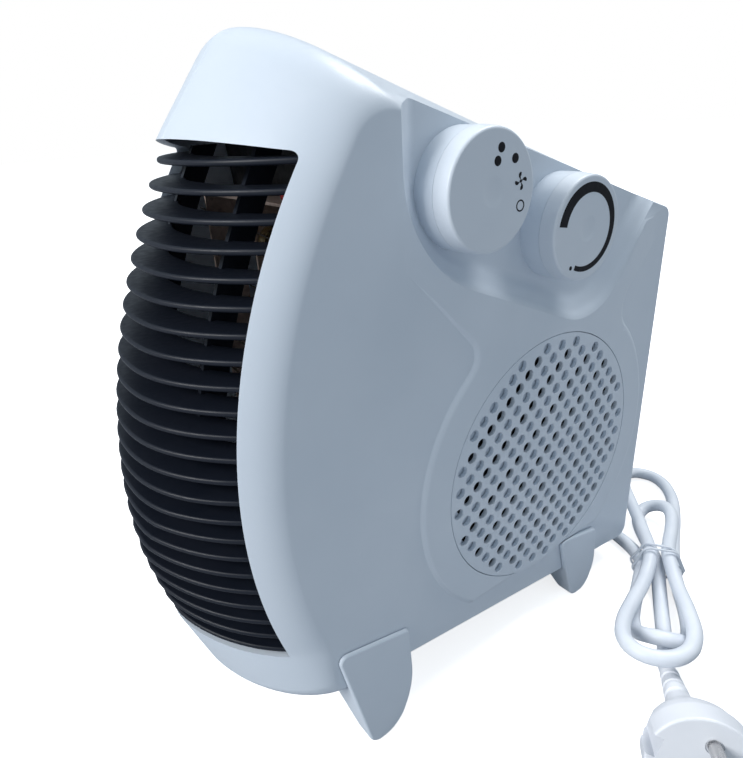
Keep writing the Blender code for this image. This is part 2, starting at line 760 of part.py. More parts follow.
def outlet_grille():
    slats = []
    for i in range(SLAT_COUNT):
        z = slat_z(i)
        slats.append(prism("slat", [(x, y, z - SLAT_THICK / 2) for x, y in slat_outline(z)],
                           (0, 0, SLAT_THICK)))
    grille = join("outlet_grille", slats, black_plastic())
    ribs = [upright("rib", side * RIB_X, RIB_THICK, RIB_SETBACK, RIB_DEPTH) for side in (-1, 1)]
    return combine(grille, join("ribs", ribs), "UNION")


def intake_grille():
    outlines = [circle(INTAKE_Y, INTAKE_Z, INTAKE_RADIUS, 40)]
    outlines += [circle(y, z, HOLE_RADIUS, HOLE_SIDES, HOLE_TURN_DEG) for y, z in hole_centres()]
    face = HALF_WIDTH + PANEL_RISE
    return flat_plate("intake_grille", outlines, face - INTAKE_THICK, face, white_plastic())


def knob(name, y, z):
    """A cap with a slightly tapered skirt, a rounded face edge, a finger dimple at its
    centre and a socket for the spindle."""
    base = KNOB_FACE_X - KNOB_HEIGHT
    top = KNOB_RADIUS - KNOB_TAPER
    profile = [(0, SOCKET_DEPTH), (SPINDLE_BORE, SOCKET_DEPTH), (SPINDLE_BORE, 0), (KNOB_RADIUS, 0),
               (top, KNOB_HEIGHT - KNOB_EDGE),
               (top - KNOB_EDGE * 0.3, KNOB_HEIGHT - KNOB_EDGE * 0.3), (top - KNOB_EDGE, KNOB_HEIGHT),
               (4.4, KNOB_HEIGHT), (3.4, KNOB_HEIGHT - 0.3), (0, KNOB_HEIGHT - 0.3)]
    return turned(name, profile, (base, y, z), (1, 0, 0), 20, white_plastic())


SWITCH_LENGTH = 24.0
SPINDLE_DEPTH = 10.0         # how far a spindle reaches into its switch


def spindle(name, y, z):
    low = recess_floor_x() - WALL - GAP - SPINDLE_DEPTH
    high = KNOB_FACE_X - KNOB_HEIGHT + SOCKET_DEPTH - GAP
    profile = [(0, 0), (SPINDLE_RADIUS, 0), (SPINDLE_RADIUS, high - low), (0, high - low)]
    return turned(name, profile, (low, y, z), (1, 0, 0), 12, steel())


def switch_body(name, y, z, width, height, length, finish):
    high = recess_floor_x() - WALL - GAP
    body = box(name, (high - length, y - width / 2, z - height / 2), (high, y + width / 2, z + height / 2), finish)
    return combine(body, rod(name + "_bore", (high - SPINDLE_DEPTH - GAP, y, z), (high + 1.0, y, z),
                             SPINDLE_BORE, 12))


def thermostat():
    """A slim ceramic stack behind its spindle, with the bimetal blade and contact on it."""
    y, z = THERMOSTAT_Y, THERMOSTAT_Z
    switch_body("thermostat_body", y, z, 20.0, 13.0, 16.0, grey_plastic())
    low = recess_floor_x() - WALL - 2 * GAP - 16.0
    box("bimetal_blade", (low - 0.8, y - 9.0, z - 3.0), (low, y + 26.0, z + 3.0), brass())


# Feet: tongue outlines on the control side, (y, z, radius, segments)
FRONT_FOOT = ((-71.5, 53.5, 3.0, 2), (-60.5, 0.0, 5.0, 4), (-46.0, 0.0, 8.0, 4), (-38.0, 46.5, 3.0, 2))
REAR_FOOT = ((58.0, 39.5, 3.0, 2), (68.0, 0.0, 5.0, 4), (81.0, 0.0, 6.0, 4), (86.5, 33.5, 3.0, 2))


def foot(name, side, corners):
    """A tongue that laps over the side face, is cut to the shell's shape, and leans in below."""
    outline = rounded(list(reversed(corners)))
    low, high = sorted((side * FOOT_INNER_X, side * (HALF_WIDTH + FOOT_PROUD)))
    wedge = prism_x(name, outline, low, high, white_plastic())
    combine(wedge, loft("shell_clearance", body_rings(side, -GAP, -4.0)))
    if side > 0:
        combine(wedge, panel_tool("panel_clearance", panel_outline(), side, GAP))
    first, last = min(y for y, _ in outline) - 5.0, max(y for y, _ in outline) + 5.0
    lean = [(side * (FOOT_INNER_X - 10.0), -20.0), (side * (FOOT_TIP_X + 9.0), -20.0),
            (side * FOOT_TIP_X, -0.5), (side * FOOT_INNER_X, FOOT_LEAN_Z),
            (side * (FOOT_INNER_X - 10.0), FOOT_LEAN_Z)]
    combine(wedge, prism(name + "_lean", [(x, first, z) for x, z in lean], (0, last - first, 0)))
    return wedge


FOOT_LEAN_Z = 24.0


def feet():
    for side, word in ((1, "right"), (-1, "left")):
        foot(f"front_foot_{word}", side, FRONT_FOOT)
        foot(f"rear_foot_{word}", side, REAR_FOOT)


# Blower
HUB_RADIUS = 7.0
HUB_LENGTH = 16.0
PLATE_THICK = 1.6
BLADE_ROOT = 31.0
BLADE_THICK = 1.4
RING_WIDTH = 3.6
BRACKET_THICK = 2.0
STATOR_HALF = 30.0
STATOR_LEG_LOW = -44.0
STATOR_LEG_HIGH = -33.0
COIL_DEPTH = 7.5


def motor_left_x():
    return STATOR_CENTRE_X - STATOR_STACK / 2 - GAP - BRACKET_THICK


def motor_rotor():
    low = motor_left_x() - 6.0
    core = STATOR_CENTRE_X - STATOR_STACK / 2 - low
    end = FAN_BACK_X - 2.0 + HUB_LENGTH - low
    profile = [(0, 0), (SHAFT_RADIUS, 0), (SHAFT_RADIUS, core), (ROTOR_RADIUS, core),
               (ROTOR_RADIUS, core + STATOR_STACK), (SHAFT_RADIUS, core + STATOR_STACK),
               (SHAFT_RADIUS, end), (0, end)]
    return turned("motor_rotor", profile, (low, INTAKE_Y, INTAKE_Z), (1, 0, 0), 14, steel())


def blade_outline(turn):
    """A blade that leans forward as it goes out."""
    front, back = [], []
    for i in range(3):
        radius = BLADE_ROOT + (FAN_RADIUS - 0.6 - BLADE_ROOT) * i / 2
        angle = turn + radians(16.0) * (i / 2) ** 2
        half = BLADE_THICK / 2 / radius
        front.append((INTAKE_Y + radius * cos(angle + half), INTAKE_Z + radius * sin(angle + half)))
        back.append((INTAKE_Y + radius * cos(angle - half), INTAKE_Z + radius * sin(angle - half)))
    return front + back[::-1]


def fan_wheel():
    """Hub and back plate, forward-curved blades, and the ring that ties their ends."""
    profile = [(0, 0), (HUB_RADIUS, 0), (HUB_RADIUS, 2.0), (FAN_RADIUS, 2.0), (FAN_RADIUS, 2.0 + PLATE_THICK),
               (HUB_RADIUS + 1.0, 2.0 + PLATE_THICK), (HUB_RADIUS - 1.0, HUB_LENGTH), (0, HUB_LENGTH)]
    wheel = turned("fan_wheel", profile, (FAN_BACK_X - 2.0, INTAKE_Y, INTAKE_Z), (1, 0, 0), 20, black_plastic())
    end = FAN_BACK_X + FAN_WIDTH
    blades = [prism_x("blade", blade_outline(2 * pi * i / FAN_BLADES), FAN_BACK_X + PLATE_THICK / 2, end - 1.0)
              for i in range(FAN_BLADES)]
    combine(wheel, join("blades", blades), "UNION")
    ring = [circle(INTAKE_Y, INTAKE_Z, radius, 20) for radius in (FAN_RADIUS, FAN_RADIUS - RING_WIDTH)]
    combine(wheel, flat_plate("blade_ring", ring, end - 2.0, end), "UNION")
    combine(wheel, rod("shaft_bore", (FAN_BACK_X - 4.0, INTAKE_Y, INTAKE_Z),
                       (FAN_BACK_X + HUB_LENGTH, INTAKE_Y, INTAKE_Z), SHAFT_BORE, 20))
    return wheel


def motor():
    """A C-frame shaded-pole motor: laminated stator, coil round its leg, two bearing brackets."""
    low, high = STATOR_CENTRE_X - STATOR_STACK / 2, STATOR_CENTRE_X + STATOR_STACK / 2
    window = STATOR_HALF - 12.0
    stator = box("motor_stator", (low, INTAKE_Y - STATOR_HALF, INTAKE_Z + STATOR_LEG_LOW),
                 (high, INTAKE_Y + STATOR_HALF, INTAKE_Z + 22.0), laminated_steel())
    combine(stator, box("stator_window", (low - 5.0, INTAKE_Y - window, INTAKE_Z + STATOR_LEG_HIGH),
                        (high + 5.0, INTAKE_Y + window, INTAKE_Z - 16.0)))
    combine(stator, rod("stator_bore", (low - 5.0, INTAKE_Y, INTAKE_Z), (high + 5.0, INTAKE_Y, INTAKE_Z),
                        ROTOR_RADIUS + 2 * GAP, 24))
    coil = box("motor_coil", (low - COIL_DEPTH, INTAKE_Y - window + 2 * GAP, INTAKE_Z + STATOR_LEG_LOW - COIL_DEPTH),
               (high + COIL_DEPTH, INTAKE_Y + window - 2 * GAP, INTAKE_Z + STATOR_LEG_HIGH + COIL_DEPTH),
               copper_winding())
    combine(coil, box("coil_core", (low - GAP, INTAKE_Y - window - 5.0, INTAKE_Z + STATOR_LEG_LOW - GAP),
                      (high + GAP, INTAKE_Y + window + 5.0, INTAKE_Z + STATOR_LEG_HIGH + GAP)))
    for name, face, way in (("motor_bracket_rear", low - GAP, -1), ("motor_bracket_front", high + GAP, 1)):
        ends = sorted((face, face + way * BRACKET_THICK))
        bar = box(name, (ends[0], INTAKE_Y - POST_SPREAD - 6.0, INTAKE_Z - 7.0),
                  (ends[1], INTAKE_Y + POST_SPREAD + 6.0, INTAKE_Z + 7.0), steel())
        combine(bar, rod("bearing", (face + way * 0.5, INTAKE_Y, INTAKE_Z), (face + way * 6.0, INTAKE_Y, INTAKE_Z),
                         6.0, 12), "UNION")
        combine(bar, rod("bearing_bore", (face - way * 4.0, INTAKE_Y, INTAKE_Z),
                         (face + way * 9.0, INTAKE_Y, INTAKE_Z), SHAFT_BORE, 12))


# Air duct: a volute round the wheel that opens to the outlet
VOLUTE_START = 56.0
VOLUTE_END = 64.5
DUCT_FRONT_Y = FRONT_Y + 43.8


def air_duct():
    inner = [(DUCT_FRONT_Y, OUTLET_LOW_Z - 3.0)]
    steps = 16
    for i in range(steps + 1):
        angle = radians(215.0 + 225.0 * i / steps)
        radius = VOLUTE_START + (VOLUTE_END - VOLUTE_START) * i / steps
        inner.append((INTAKE_Y + radius * cos(angle), INTAKE_Z + radius * sin(angle)))
    inner += [(-30.0, 180.0), (-38.0, 192.0), (-41.0, OUTLET_HIGH_Z)]
    outer = []
    for i, point in enumerate(inner):
        before = Vector(inner[max(i - 1, 0)])
        after = Vector(inner[min(i + 1, len(inner) - 1)])
        along = (after - before).normalized()
        outer.append((point[0] + along.y * DUCT_WALL, point[1] - along.x * DUCT_WALL))
    duct = prism_x("air_duct", inner + outer[::-1], -HALF_WIDTH, HALF_WIDTH, black_plastic())
    inset = WALL + GAP
    space = loft("duct_space", body_rings(-1, inset)[::-1] + body_rings(1, inset))
    combine(space, recess_tool("recess_clearance", WALL + GAP, recess_floor_x() - WALL - GAP))
    return combine(duct, space, "INTERSECT")


# Heating element on its mica frame, behind the outlet
ELEMENT_FRONT_Y = FRONT_Y + 62.8
ELEMENT_BACK_Y = ELEMENT_FRONT_Y + 13.0
ELEMENT_LOW_Z = 67.0
ELEMENT_HIGH_Z = 210.0
ELEMENT_BOARDS_X = (-40.0, 0.0, 40.0)
BOARD_THICK = 1.0
CROSS_HALF = HALF_WIDTH - WALL - 1.7
WIRE_DIAMETER = 0.9
WIRE_TURNS = 16


def heating_element():
    for word, x in zip(("left", "middle", "right"), ELEMENT_BOARDS_X):
        box(f"element_board_{word}", (x - BOARD_THICK / 2, ELEMENT_FRONT_Y, ELEMENT_LOW_Z),
            (x + BOARD_THICK / 2, ELEMENT_BACK_Y, ELEMENT_HIGH_Z), mica())
    for word, z in (("bottom", ELEMENT_LOW_Z - GAP - BOARD_THICK), ("top", ELEMENT_HIGH_Z + GAP)):
        box(f"element_board_{word}", (-CROSS_HALF, ELEMENT_FRONT_Y, z),
            (CROSS_HALF, ELEMENT_BACK_Y, z + BOARD_THICK), mica())
    offset = GAP + WIRE_DIAMETER / 2
    for word, y in (("front", ELEMENT_FRONT_Y - offset), ("back", ELEMENT_BACK_Y + offset)):
        low, high = ELEMENT_LOW_Z + 5.0, ELEMENT_HIGH_Z - 5.0
        reach = ELEMENT_BOARDS_X[2] + 4.0
        points = [(reach * (1 if i % 2 else -1), y, low + (high - low) * i / WIRE_TURNS)
                  for i in range(WIRE_TURNS + 1)]
        tube(f"element_wire_{word}", points, WIRE_DIAMETER, 0, nichrome())
    seat = BOARD_THICK / 2 + GAP
    middle = (ELEMENT_FRONT_Y + ELEMENT_BACK_Y) / 2
    rod("thermal_cutout", (seat, middle, 196.0), (seat + 5.0, middle, 196.0), 5.8, 16, brass())
    z = ELEMENT_HIGH_Z + GAP + BOARD_THICK + GAP + 1.7
    rod("thermal_fuse", (20.0, ELEMENT_FRONT_Y + 3.0, z), (42.0, ELEMENT_FRONT_Y + 3.0, z), 1.7, 10,
        red_sleeve())


def terminal_block():
    z = bottom_z(84.0, WALL) + GAP + 0.8
    block = box("terminal_block", (-16.0, 84.0, z), (16.0, 100.0, z + 12.0), black_plastic())
    wells = [rod("well", (x, 92.0, z + 5.0), (x, 92.0, z + 20.0), 2.6, 10) for x in (-10.0, 0.0, 10.0)]
    return combine(block, join("terminal_wells", wells))


# Cord, tied in a hank on the floor, and its plug. The hank's own directions are s, along
# the hank towards the plug, and t, across it, both from the tie.
TIE = (75.5, 116.0)
HANK_AIM_DEG = -56.2
HANK_TURNS = 2
LAYER = 7.8
FIRST_RISE = 8.8             # rise of the first turn at the front, over the plug's strand
SECOND_RISE = 7.1            # rise of the second turn there, over the first
RISE_SPAN = 0.239
FRONT_FOLDS = (57.8, 75.9)
REAR_FOLDS = (95.3, 52.4)
FRONT_LOBES = (8.1, 14.1)
REAR_LOBES = (11.1, 7.0)
FRONT_LEANS = (-2.2, -8.0)    # sideways shift of each fold
REAR_LEANS = (-2.9, 0.8)
LAST_LOBE = 9.0
WAISTS = (8.0, 4.5)
LOBE_POWER = 1.6
TIE_DIAMETER = 1.2
TIE_LIFT = TIE_DIAMETER + 2 * GAP
LOOP_POINTS = 24
CORD_SPLIT = (19.5, 127.6)  # where the free stretch meets the hank, behind the body
SPLIT_AIM_DEG = -7.0
RELIEF_AT = (115.5, 56.6)    # where the plug's strain relief starts
PLUG_AIM_DEG = -51.2
PLUG_TILT_DEG = 16.2
PLUG_RADIUS = 19.0
RELIEF_LENGTH = 24.0
PLUG_LENGTH = 30.0
PLUG_RIM = 9.0
PIN_RADIUS = 2.4
PIN_LENGTH = 19.0
PIN_SPREAD = 9.5
PIN_ROLL_DEG = 18.0


def smooth(low, high, value):
    share = min(max((value - low) / (high - low), 0.0), 1.0)
    return share * share * (3 - 2 * share)


def bump(centre, width, value):
    return (1 - min(abs(value - centre) / width, 1.0) ** 2) ** 2


def on_floor(s, t, z):
    aim = radians(HANK_AIM_DEG)
    return (TIE[0] + s * cos(aim) - t * sin(aim), TIE[1] + s * sin(aim) + t * cos(aim), z)


def hank_height(turns, s):
    """Layer one, over the plug's strand; up on the way back; layer two; down to the floor."""
    height = CORD_DIAMETER / 2 + TIE_LIFT * bump(0.0, 24.0, s)
    if turns < 1:
        return height + LAYER * smooth(0.74, 0.93, turns) + FIRST_RISE * bump(0.25, 0.12, turns)
    return height + LAYER * (1 - smooth(1.64, 1.9, turns)) + SECOND_RISE * bump(1.25, RISE_SPAN, turns)


def hank_point(turns):
    """A point of the folded cord: the first turn lies on the floor, the second on the first."""
    second = turns >= 1
    angle = 2 * pi * turns
    across, along = cos(angle), sin(angle)
    fold = (FRONT_FOLDS if along > 0 else REAR_FOLDS)[second]
    lobe = (FRONT_LOBES if along > 0 else REAR_LOBES)[second]
    lean = (FRONT_LEANS if along > 0 else REAR_LEANS)[second]
    if second:
        waist = WAISTS[1] * (1 - smooth(1.7, 1.95, turns))
        if along <= 0:
            lobe += (LAST_LOBE - lobe) * smooth(1.62, 1.9, turns)
    else:
        waist = WAISTS[0] + (WAISTS[1] - WAISTS[0]) * smooth(0.8, 1.0, turns)
    s = fold * along
    t = lean * along * along - across * (waist + 2 * lobe * abs(along) ** LOBE_POWER)
    return on_floor(s, t, hank_height(turns, s))


def plug_axis():
    """Start of the plug's strain relief and the plug's direction."""
    tilt, aim = radians(PLUG_TILT_DEG), radians(PLUG_AIM_DEG)
    direction = Vector((cos(tilt) * cos(aim), cos(tilt) * sin(aim), sin(tilt)))
    rim = RELIEF_LENGTH + PLUG_LENGTH - PLUG_RIM
    height = PLUG_RADIUS * cos(tilt) - rim * sin(tilt) + 0.05
    return Vector((*RELIEF_AT, height)), direction


def split_ends():
    aim = radians(SPLIT_AIM_DEG)
    run = Vector((cos(aim), sin(aim), 0.0))
    middle = Vector((*CORD_SPLIT, CORD_DIAMETER / 2))
    return middle, run


def spline_through(points, spacing):
    """Points read off a smooth curve through the given ones, about evenly spaced."""
    points = [Vector(point) for point in points]
    fine = []
    for i in range(len(points) - 1):
        a, b = points[max(i - 1, 0)], points[i]
        c, d = points[i + 1], points[min(i + 2, len(points) - 1)]
        for j in range(12):
            u = j / 12
            fine.append(0.5 * (2 * b + (c - a) * u + (2 * a - 5 * b + 4 * c - d) * u * u
                               + (3 * b - a - 3 * c + d) * u ** 3))
    fine.append(points[-1])
    lengths = [0.0]
    for low, high in zip(fine, fine[1:]):
        lengths.append(lengths[-1] + (high - low).length)
    count = max(round(lengths[-1] / spacing), 2)
    even, at = [], 0
    for i in range(count + 1):
        wanted = lengths[-1] * i / count
        while at < len(lengths) - 2 and lengths[at + 1] < wanted:
            at += 1
        step = lengths[at + 1] - lengths[at]
        even.append(fine[at].lerp(fine[at + 1], min((wanted - lengths[at]) / step, 1.0)))
    return even


def tail_route():
    start = gland_end()
    middle, run = split_ends()
    return [start, start + Vector((0, CORD_DIAMETER, 0)), (0, 166, 35.0), (-2, 177, 28.5), (-7, 188, 19.0),
            (-14, 197, 10.0), (-24, 204, 4.6), (-37, 206.5, 3.5), (-50, 203.5, 3.5), (-60, 195, 3.5),
            (-65, 182, 3.5), (-63, 168, 3.5), (-55, 155, 3.5), (-42, 145, 3.5), (-25, 137, 3.5),
            (-6, 131.6, 3.5), middle - run * (CORD_DIAMETER + GAP / 2), middle - run * GAP / 2]


def hank_route():
    middle, run = split_ends()
    relief, direction = plug_axis()
    lead = [middle + run * GAP / 2, middle + run * (CORD_DIAMETER + GAP / 2), (43.0, 125.2, 3.5), (59.3, 119.6, 4.2)]
    turns = [hank_point(i / LOOP_POINTS) for i in range(HANK_TURNS * LOOP_POINTS + 1)]
    reach = Vector(RELIEF_AT) - Vector(TIE)
    strand = [(*(Vector(TIE) + reach * s / reach.length), hank_height(HANK_TURNS, s)) for s in (14.0, 28.0, 42.0, 54.0)]
    end = [relief - direction * (CORD_DIAMETER + GAP), relief - direction * GAP]
    return lead + turns + strand + end


def least_gap(points, diameter):
    """The least clearance between stretches of one cord that aren't neighbours."""
    fine = spline_through(points, 2.0)
    apart = int(3.2 * diameter / 2.0)
    least = min((fine[i] - fine[j]).length for i in range(len(fine)) for j in range(i + apart, len(fine)))
    return least - diameter


def gland_end():
    return Vector((0, BACK_Y + GAP + GLAND_LENGTH + GAP, GLAND_Z))


def cord():
    flange, neck = GLAND_HOLE_RADIUS + 1.6, GLAND_HOLE_RADIUS - GAP
    wall = 1.5 + WALL + 2 * GAP
    profile = [(0, 0), (flange, 0), (flange, 1.5), (neck, 1.5), (neck, wall), (flange, wall), (flange, wall + 1.6),
               (6.0, wall + 3.0), (4.4, wall + GLAND_LENGTH), (0, wall + GLAND_LENGTH)]
    turned("cord_gland", profile, (0, BACK_Y - WALL - GAP - 1.5, GLAND_Z), (0, 1, 0), 16, white_plastic())
    tube("cord_tail", spline_through(tail_route(), 8.0), CORD_DIAMETER, 2, cord_pvc())
    route = hank_route()
    gap = least_gap(route, CORD_DIAMETER)
    print(f"cord_hank: least gap to itself {gap:.2f} mm")
    tube("cord_hank", route, CORD_DIAMETER, 1, cord_pvc())
    tie_reach = CORD_DIAMETER / 2 + GAP + TIE_DIAMETER / 2
    low, high = hank_height(0.0, 0.0), hank_height(1.0, 0.0)
    corners = ((-WAISTS[0], low, 180, 270), (WAISTS[0], low, 270, 360), (WAISTS[1], high, 0, 90), (-WAISTS[1], high, 90, 180))
    loop = []
    for t, z, start, end in corners:
        for i in range(4):
            angle = radians(start + (end - start) * i / 3)
            loop.append(on_floor(0.0, t + tie_reach * cos(angle), z + tie_reach * sin(angle)))
    tube("cord_tie", loop, TIE_DIAMETER, 1, cord_pvc(), cyclic=True)


def plug():
    """A round earthed plug: ribbed strain relief, flared body, and earth recesses in its sides."""
    relief, direction = plug_axis()
    length = RELIEF_LENGTH + PLUG_LENGTH
    profile = [(0, 0), (3.9, 0)]
    ribs = 3
    for i in range(ribs):
        height = 3.0 + (RELIEF_LENGTH - 6.0) * i / ribs
        radius = 4.0 + 1.4 * i / ribs
        profile += [(radius, height), (radius - 0.5, height + 0.6), (radius - 0.5, height + 2.2), (radius + 0.3, height + 2.8)]
    shoulder = RELIEF_LENGTH
    profile += [(6.2, shoulder - 2.0), (8.0, shoulder + 3.0), (12.0, shoulder + 9.0), (16.4, shoulder + 13.5),
                (PLUG_RADIUS - 1.0, length - PLUG_RIM - 3.0), (PLUG_RADIUS, length - PLUG_RIM),
                (PLUG_RADIUS, length - 0.8),
                (PLUG_RADIUS - 0.8, length), (0, length)]
    body = turned("plug_body", profile, relief, direction, 18, white_plastic())
    face = relief + direction * length
    level = Vector((-direction.y, direction.x, 0.0)).normalized()
    upright = direction.cross(level)
    roll = radians(PIN_ROLL_DEG)
    pins = upright * -cos(roll) + level * sin(roll) if upright.z < 0 else upright * cos(roll) + level * sin(roll)
    sides = direction.cross(pins)
    for side in (-1, 1):
        middle = face + sides * side * (PLUG_RADIUS - 1.0)
        combine(body, slab("earth_recess", middle - direction * 9.0, sides * 6.0, pins * 8.0, direction * 20.0))
        start = face + pins * side * PIN_SPREAD + direction * GAP
        rod(f"plug_pin_{'upper' if side > 0 else 'lower'}", start, start + direction * PIN_LENGTH, PIN_RADIUS, 14, steel())
    hole = face + sides * -10.0
    combine(body, rod("earth_hole", hole - direction * 12.0, hole + direction * 4.0, 2.6, 12))


def slab(name, middle, first, second, third, finish=None):
    """A block given by its middle and its three full edges."""
    corner = middle - (first + second + third) / 2
    return prism(name, [corner, corner + first, corner + first + second, corner + second], third, finish)


def centre_on_origin():
    """Knobs stand out further than feet, and the slats less far than the back, so the whole
    heater moves over to centre its box."""
    shift = Vector((HALF_WIDTH + FOOT_PROUD - KNOB_FACE_X, -SLAT_FRONT_Y - BACK_Y, 0.0)) / 2 * MM
    for name in (COLLECTION, "cutters"):
        for obj in bpy.data.collections[name].objects:
            obj.location += shift


def main():
    reset_scene()
    right_housing()
    left_housing()
    housing_screws()
    outlet_grille()
    intake_grille()
    knob("function_knob", FUNCTION_Y, FUNCTION_Z)
    spindle("function_spindle", FUNCTION_Y, FUNCTION_Z)
    switch_body("function_switch", FUNCTION_Y, FUNCTION_Z, 30.0, 24.0, SWITCH_LENGTH, grey_plastic())
    knob("thermostat_knob", THERMOSTAT_Y, THERMOSTAT_Z)
    spindle("thermostat_spindle", THERMOSTAT_Y, THERMOSTAT_Z)
    thermostat()
    feet()
    motor_rotor()
    fan_wheel()
    motor()
    air_duct()
    heating_element()
    terminal_block()
    cord()
    plug()
    centre_on_origin()


main()
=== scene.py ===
# %% [markdown]
# # Upright fan heater
# Two white half shells meet along a seam that runs over the nose. Black slats close the air
# outlet, a perforated disc closes the air intake, and two knobs stand in a scoop above it.
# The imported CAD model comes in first, because every size and every joint belongs to it.

# %% Frame
from math import atan2, cos, pi, radians, sin, sqrt, tan

import bmesh
import bpy
from mathutils import Matrix, Vector


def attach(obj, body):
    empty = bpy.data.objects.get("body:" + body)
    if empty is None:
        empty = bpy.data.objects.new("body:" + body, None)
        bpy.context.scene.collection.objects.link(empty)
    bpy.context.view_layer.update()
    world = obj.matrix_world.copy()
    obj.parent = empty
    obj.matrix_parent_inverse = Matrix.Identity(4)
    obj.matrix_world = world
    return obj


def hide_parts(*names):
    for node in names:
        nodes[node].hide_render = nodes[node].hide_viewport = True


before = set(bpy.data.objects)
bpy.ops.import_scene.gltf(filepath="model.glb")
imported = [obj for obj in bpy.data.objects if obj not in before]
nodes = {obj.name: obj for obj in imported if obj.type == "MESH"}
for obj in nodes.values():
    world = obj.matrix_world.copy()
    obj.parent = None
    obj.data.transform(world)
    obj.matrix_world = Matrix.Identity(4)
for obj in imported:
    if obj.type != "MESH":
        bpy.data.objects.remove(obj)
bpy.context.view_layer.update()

# %% [markdown]
# Lengths are easier to read in millimetres, and the body is easier to draw round its own
# middle plane. One matrix takes both to the frame, which is in metres and has the heater,
# without its lead, in its middle. GAP is the play left between two pieces.

# %% Units and place
MM = 0.001
GAP = 0.3
SHIFT = Vector((-3.0, -3.15, 0.0))
TO_FRAME = Matrix.Translation(SHIFT * MM) @ Matrix.Scale(MM, 4)


def link(name, data):
    made = bpy.data.objects.new(name, data)
    bpy.context.scene.collection.objects.link(made)
    return made


def in_frame(point):
    return TO_FRAME @ Vector(point)


print("seam plane at", in_frame((0, 0, 0)))

# %% [markdown]
# The camera comes early, since it decides which stretch of cord is seen. It stands in front
# of the control side, a little above the top, and looks down along the heater.

# %% Camera
LENS = 29.07
CAMERA_PLACE = (0.1924, -0.15125, 0.2358)
CAMERA_AIM = (-0.7479, 0.5259, -0.4051)
CAMERA_UP = (-0.2963, 0.2815, 0.9127)
camera = link("camera", bpy.data.cameras.new("camera"))
camera.data.lens = LENS
camera.data.sensor_width = 36.0
camera.data.sensor_fit = "HORIZONTAL"
forward = Vector(CAMERA_AIM).normalized()
right = forward.cross(Vector(CAMERA_UP)).normalized()
upward = right.cross(forward)
turn_to_aim = Matrix((right, upward, -forward)).transposed().to_4x4()
camera.matrix_world = Matrix.Translation(CAMERA_PLACE) @ turn_to_aim
bpy.context.scene.camera = camera
print("camera", CAMERA_PLACE, "with a", LENS, "mm lens")

# %% [markdown]
# ## Finishes
# Moulded plastic is never one flat colour: it has a fine spark-eroded grain, faint cloudy
# flow marks and a slightly uneven sheen. One shader node group makes these three for every
# plastic here, and each material sets its own values.

# %% Node helpers
def new_group(name, inputs, outputs):
    group = bpy.data.node_groups.new(name, "ShaderNodeTree")
    for label, kind, value in inputs:
        made = group.interface.new_socket(name=label, in_out="INPUT", socket_type=kind)
        made.default_value = value
    for label, kind in outputs:
        group.interface.new_socket(name=label, in_out="OUTPUT", socket_type=kind)
    return group, group.nodes.new("NodeGroupInput"), group.nodes.new("NodeGroupOutput")


def node(tree, kind, links=(), **settings):
    """A node with its settings, and links as (input, value or output socket)."""
    made = tree.nodes.new("ShaderNode" + kind)
    for key, value in settings.items():
        setattr(made, key, value)
    for socket, source in links:
        if isinstance(source, bpy.types.NodeSocket):
            tree.links.new(source, made.inputs[socket])
        else:
            made.inputs[socket].default_value = source
    return made


def noise(tree, place, scale, detail=2.0, roughness=0.5):
    links = [("Vector", place), ("Scale", scale), ("Detail", detail), ("Roughness", roughness)]
    return node(tree, "TexNoise", links).outputs["Fac"]


def own_place(tree):
    return node(tree, "TexCoord").outputs["Object"]


def span(tree, value, low, high, to_low, to_high):
    links = [("Value", value), ("From Min", low), ("From Max", high), ("To Min", to_low), ("To Max", to_high)]
    return node(tree, "MapRange", links).outputs["Result"]


def tint(tree, share, first, second):
    """From the first colour to the second; 6 and 7 are a Mix node's colour inputs."""
    links = [(0, share), (6, first), (7, second)]
    return node(tree, "Mix", links, data_type="RGBA").outputs[2]


print("node helpers ready")

# %% [markdown]
# Slow clouds carry the colour, a fine grain goes into the height, and specks are dust.

# %% The moulded grain
COLOUR, FLOAT = "NodeSocketColor", "NodeSocketFloat"
GRAIN_SCALE, CLOUD_SCALE, SPECK_SCALE = 2600.0, 18.0, 420.0


def moulded_grain():
    group, given, made = new_group(
        "moulded grain",
        [("Colour", COLOUR, (0.8, 0.8, 0.8, 1)), ("Shade", COLOUR, (0.7, 0.7, 0.7, 1)),
         ("Roughness", FLOAT, 0.4), ("Unevenness", FLOAT, 0.1), ("Grain", FLOAT, GRAIN_SCALE),
         ("Clouds", FLOAT, CLOUD_SCALE)],
        [("Colour", COLOUR), ("Roughness", FLOAT), ("Height", FLOAT)])
    place = own_place(group)
    clouds = noise(group, place, given.outputs["Clouds"], 3.0, 0.6)
    grain = noise(group, place, given.outputs["Grain"], 2.0, 0.55)
    speck = noise(group, place, SPECK_SCALE, 1.0)
    share = span(group, clouds, 0.35, 0.7, 0.0, 1.0)
    dirt = span(group, speck, 0.72, 0.82, 0.0, 0.6)
    mixed = tint(group, share, given.outputs["Colour"], given.outputs["Shade"])
    mixed = tint(group, dirt, mixed, given.outputs["Shade"])
    wave = span(group, speck, 0.3, 0.7, -1.0, 1.0)
    uneven = [(0, wave), (1, given.outputs["Unevenness"]), (2, given.outputs["Roughness"])]
    uneven = node(group, "Math", uneven, operation="MULTIPLY_ADD")
    height = node(group, "Math", [(0, clouds), (1, 0.6), (2, grain)], operation="MULTIPLY_ADD")
    group.links.new(mixed, made.inputs["Colour"])
    group.links.new(uneven.outputs[0], made.inputs["Roughness"])
    group.links.new(height.outputs[0], made.inputs["Height"])
    return group


GRAIN = moulded_grain()


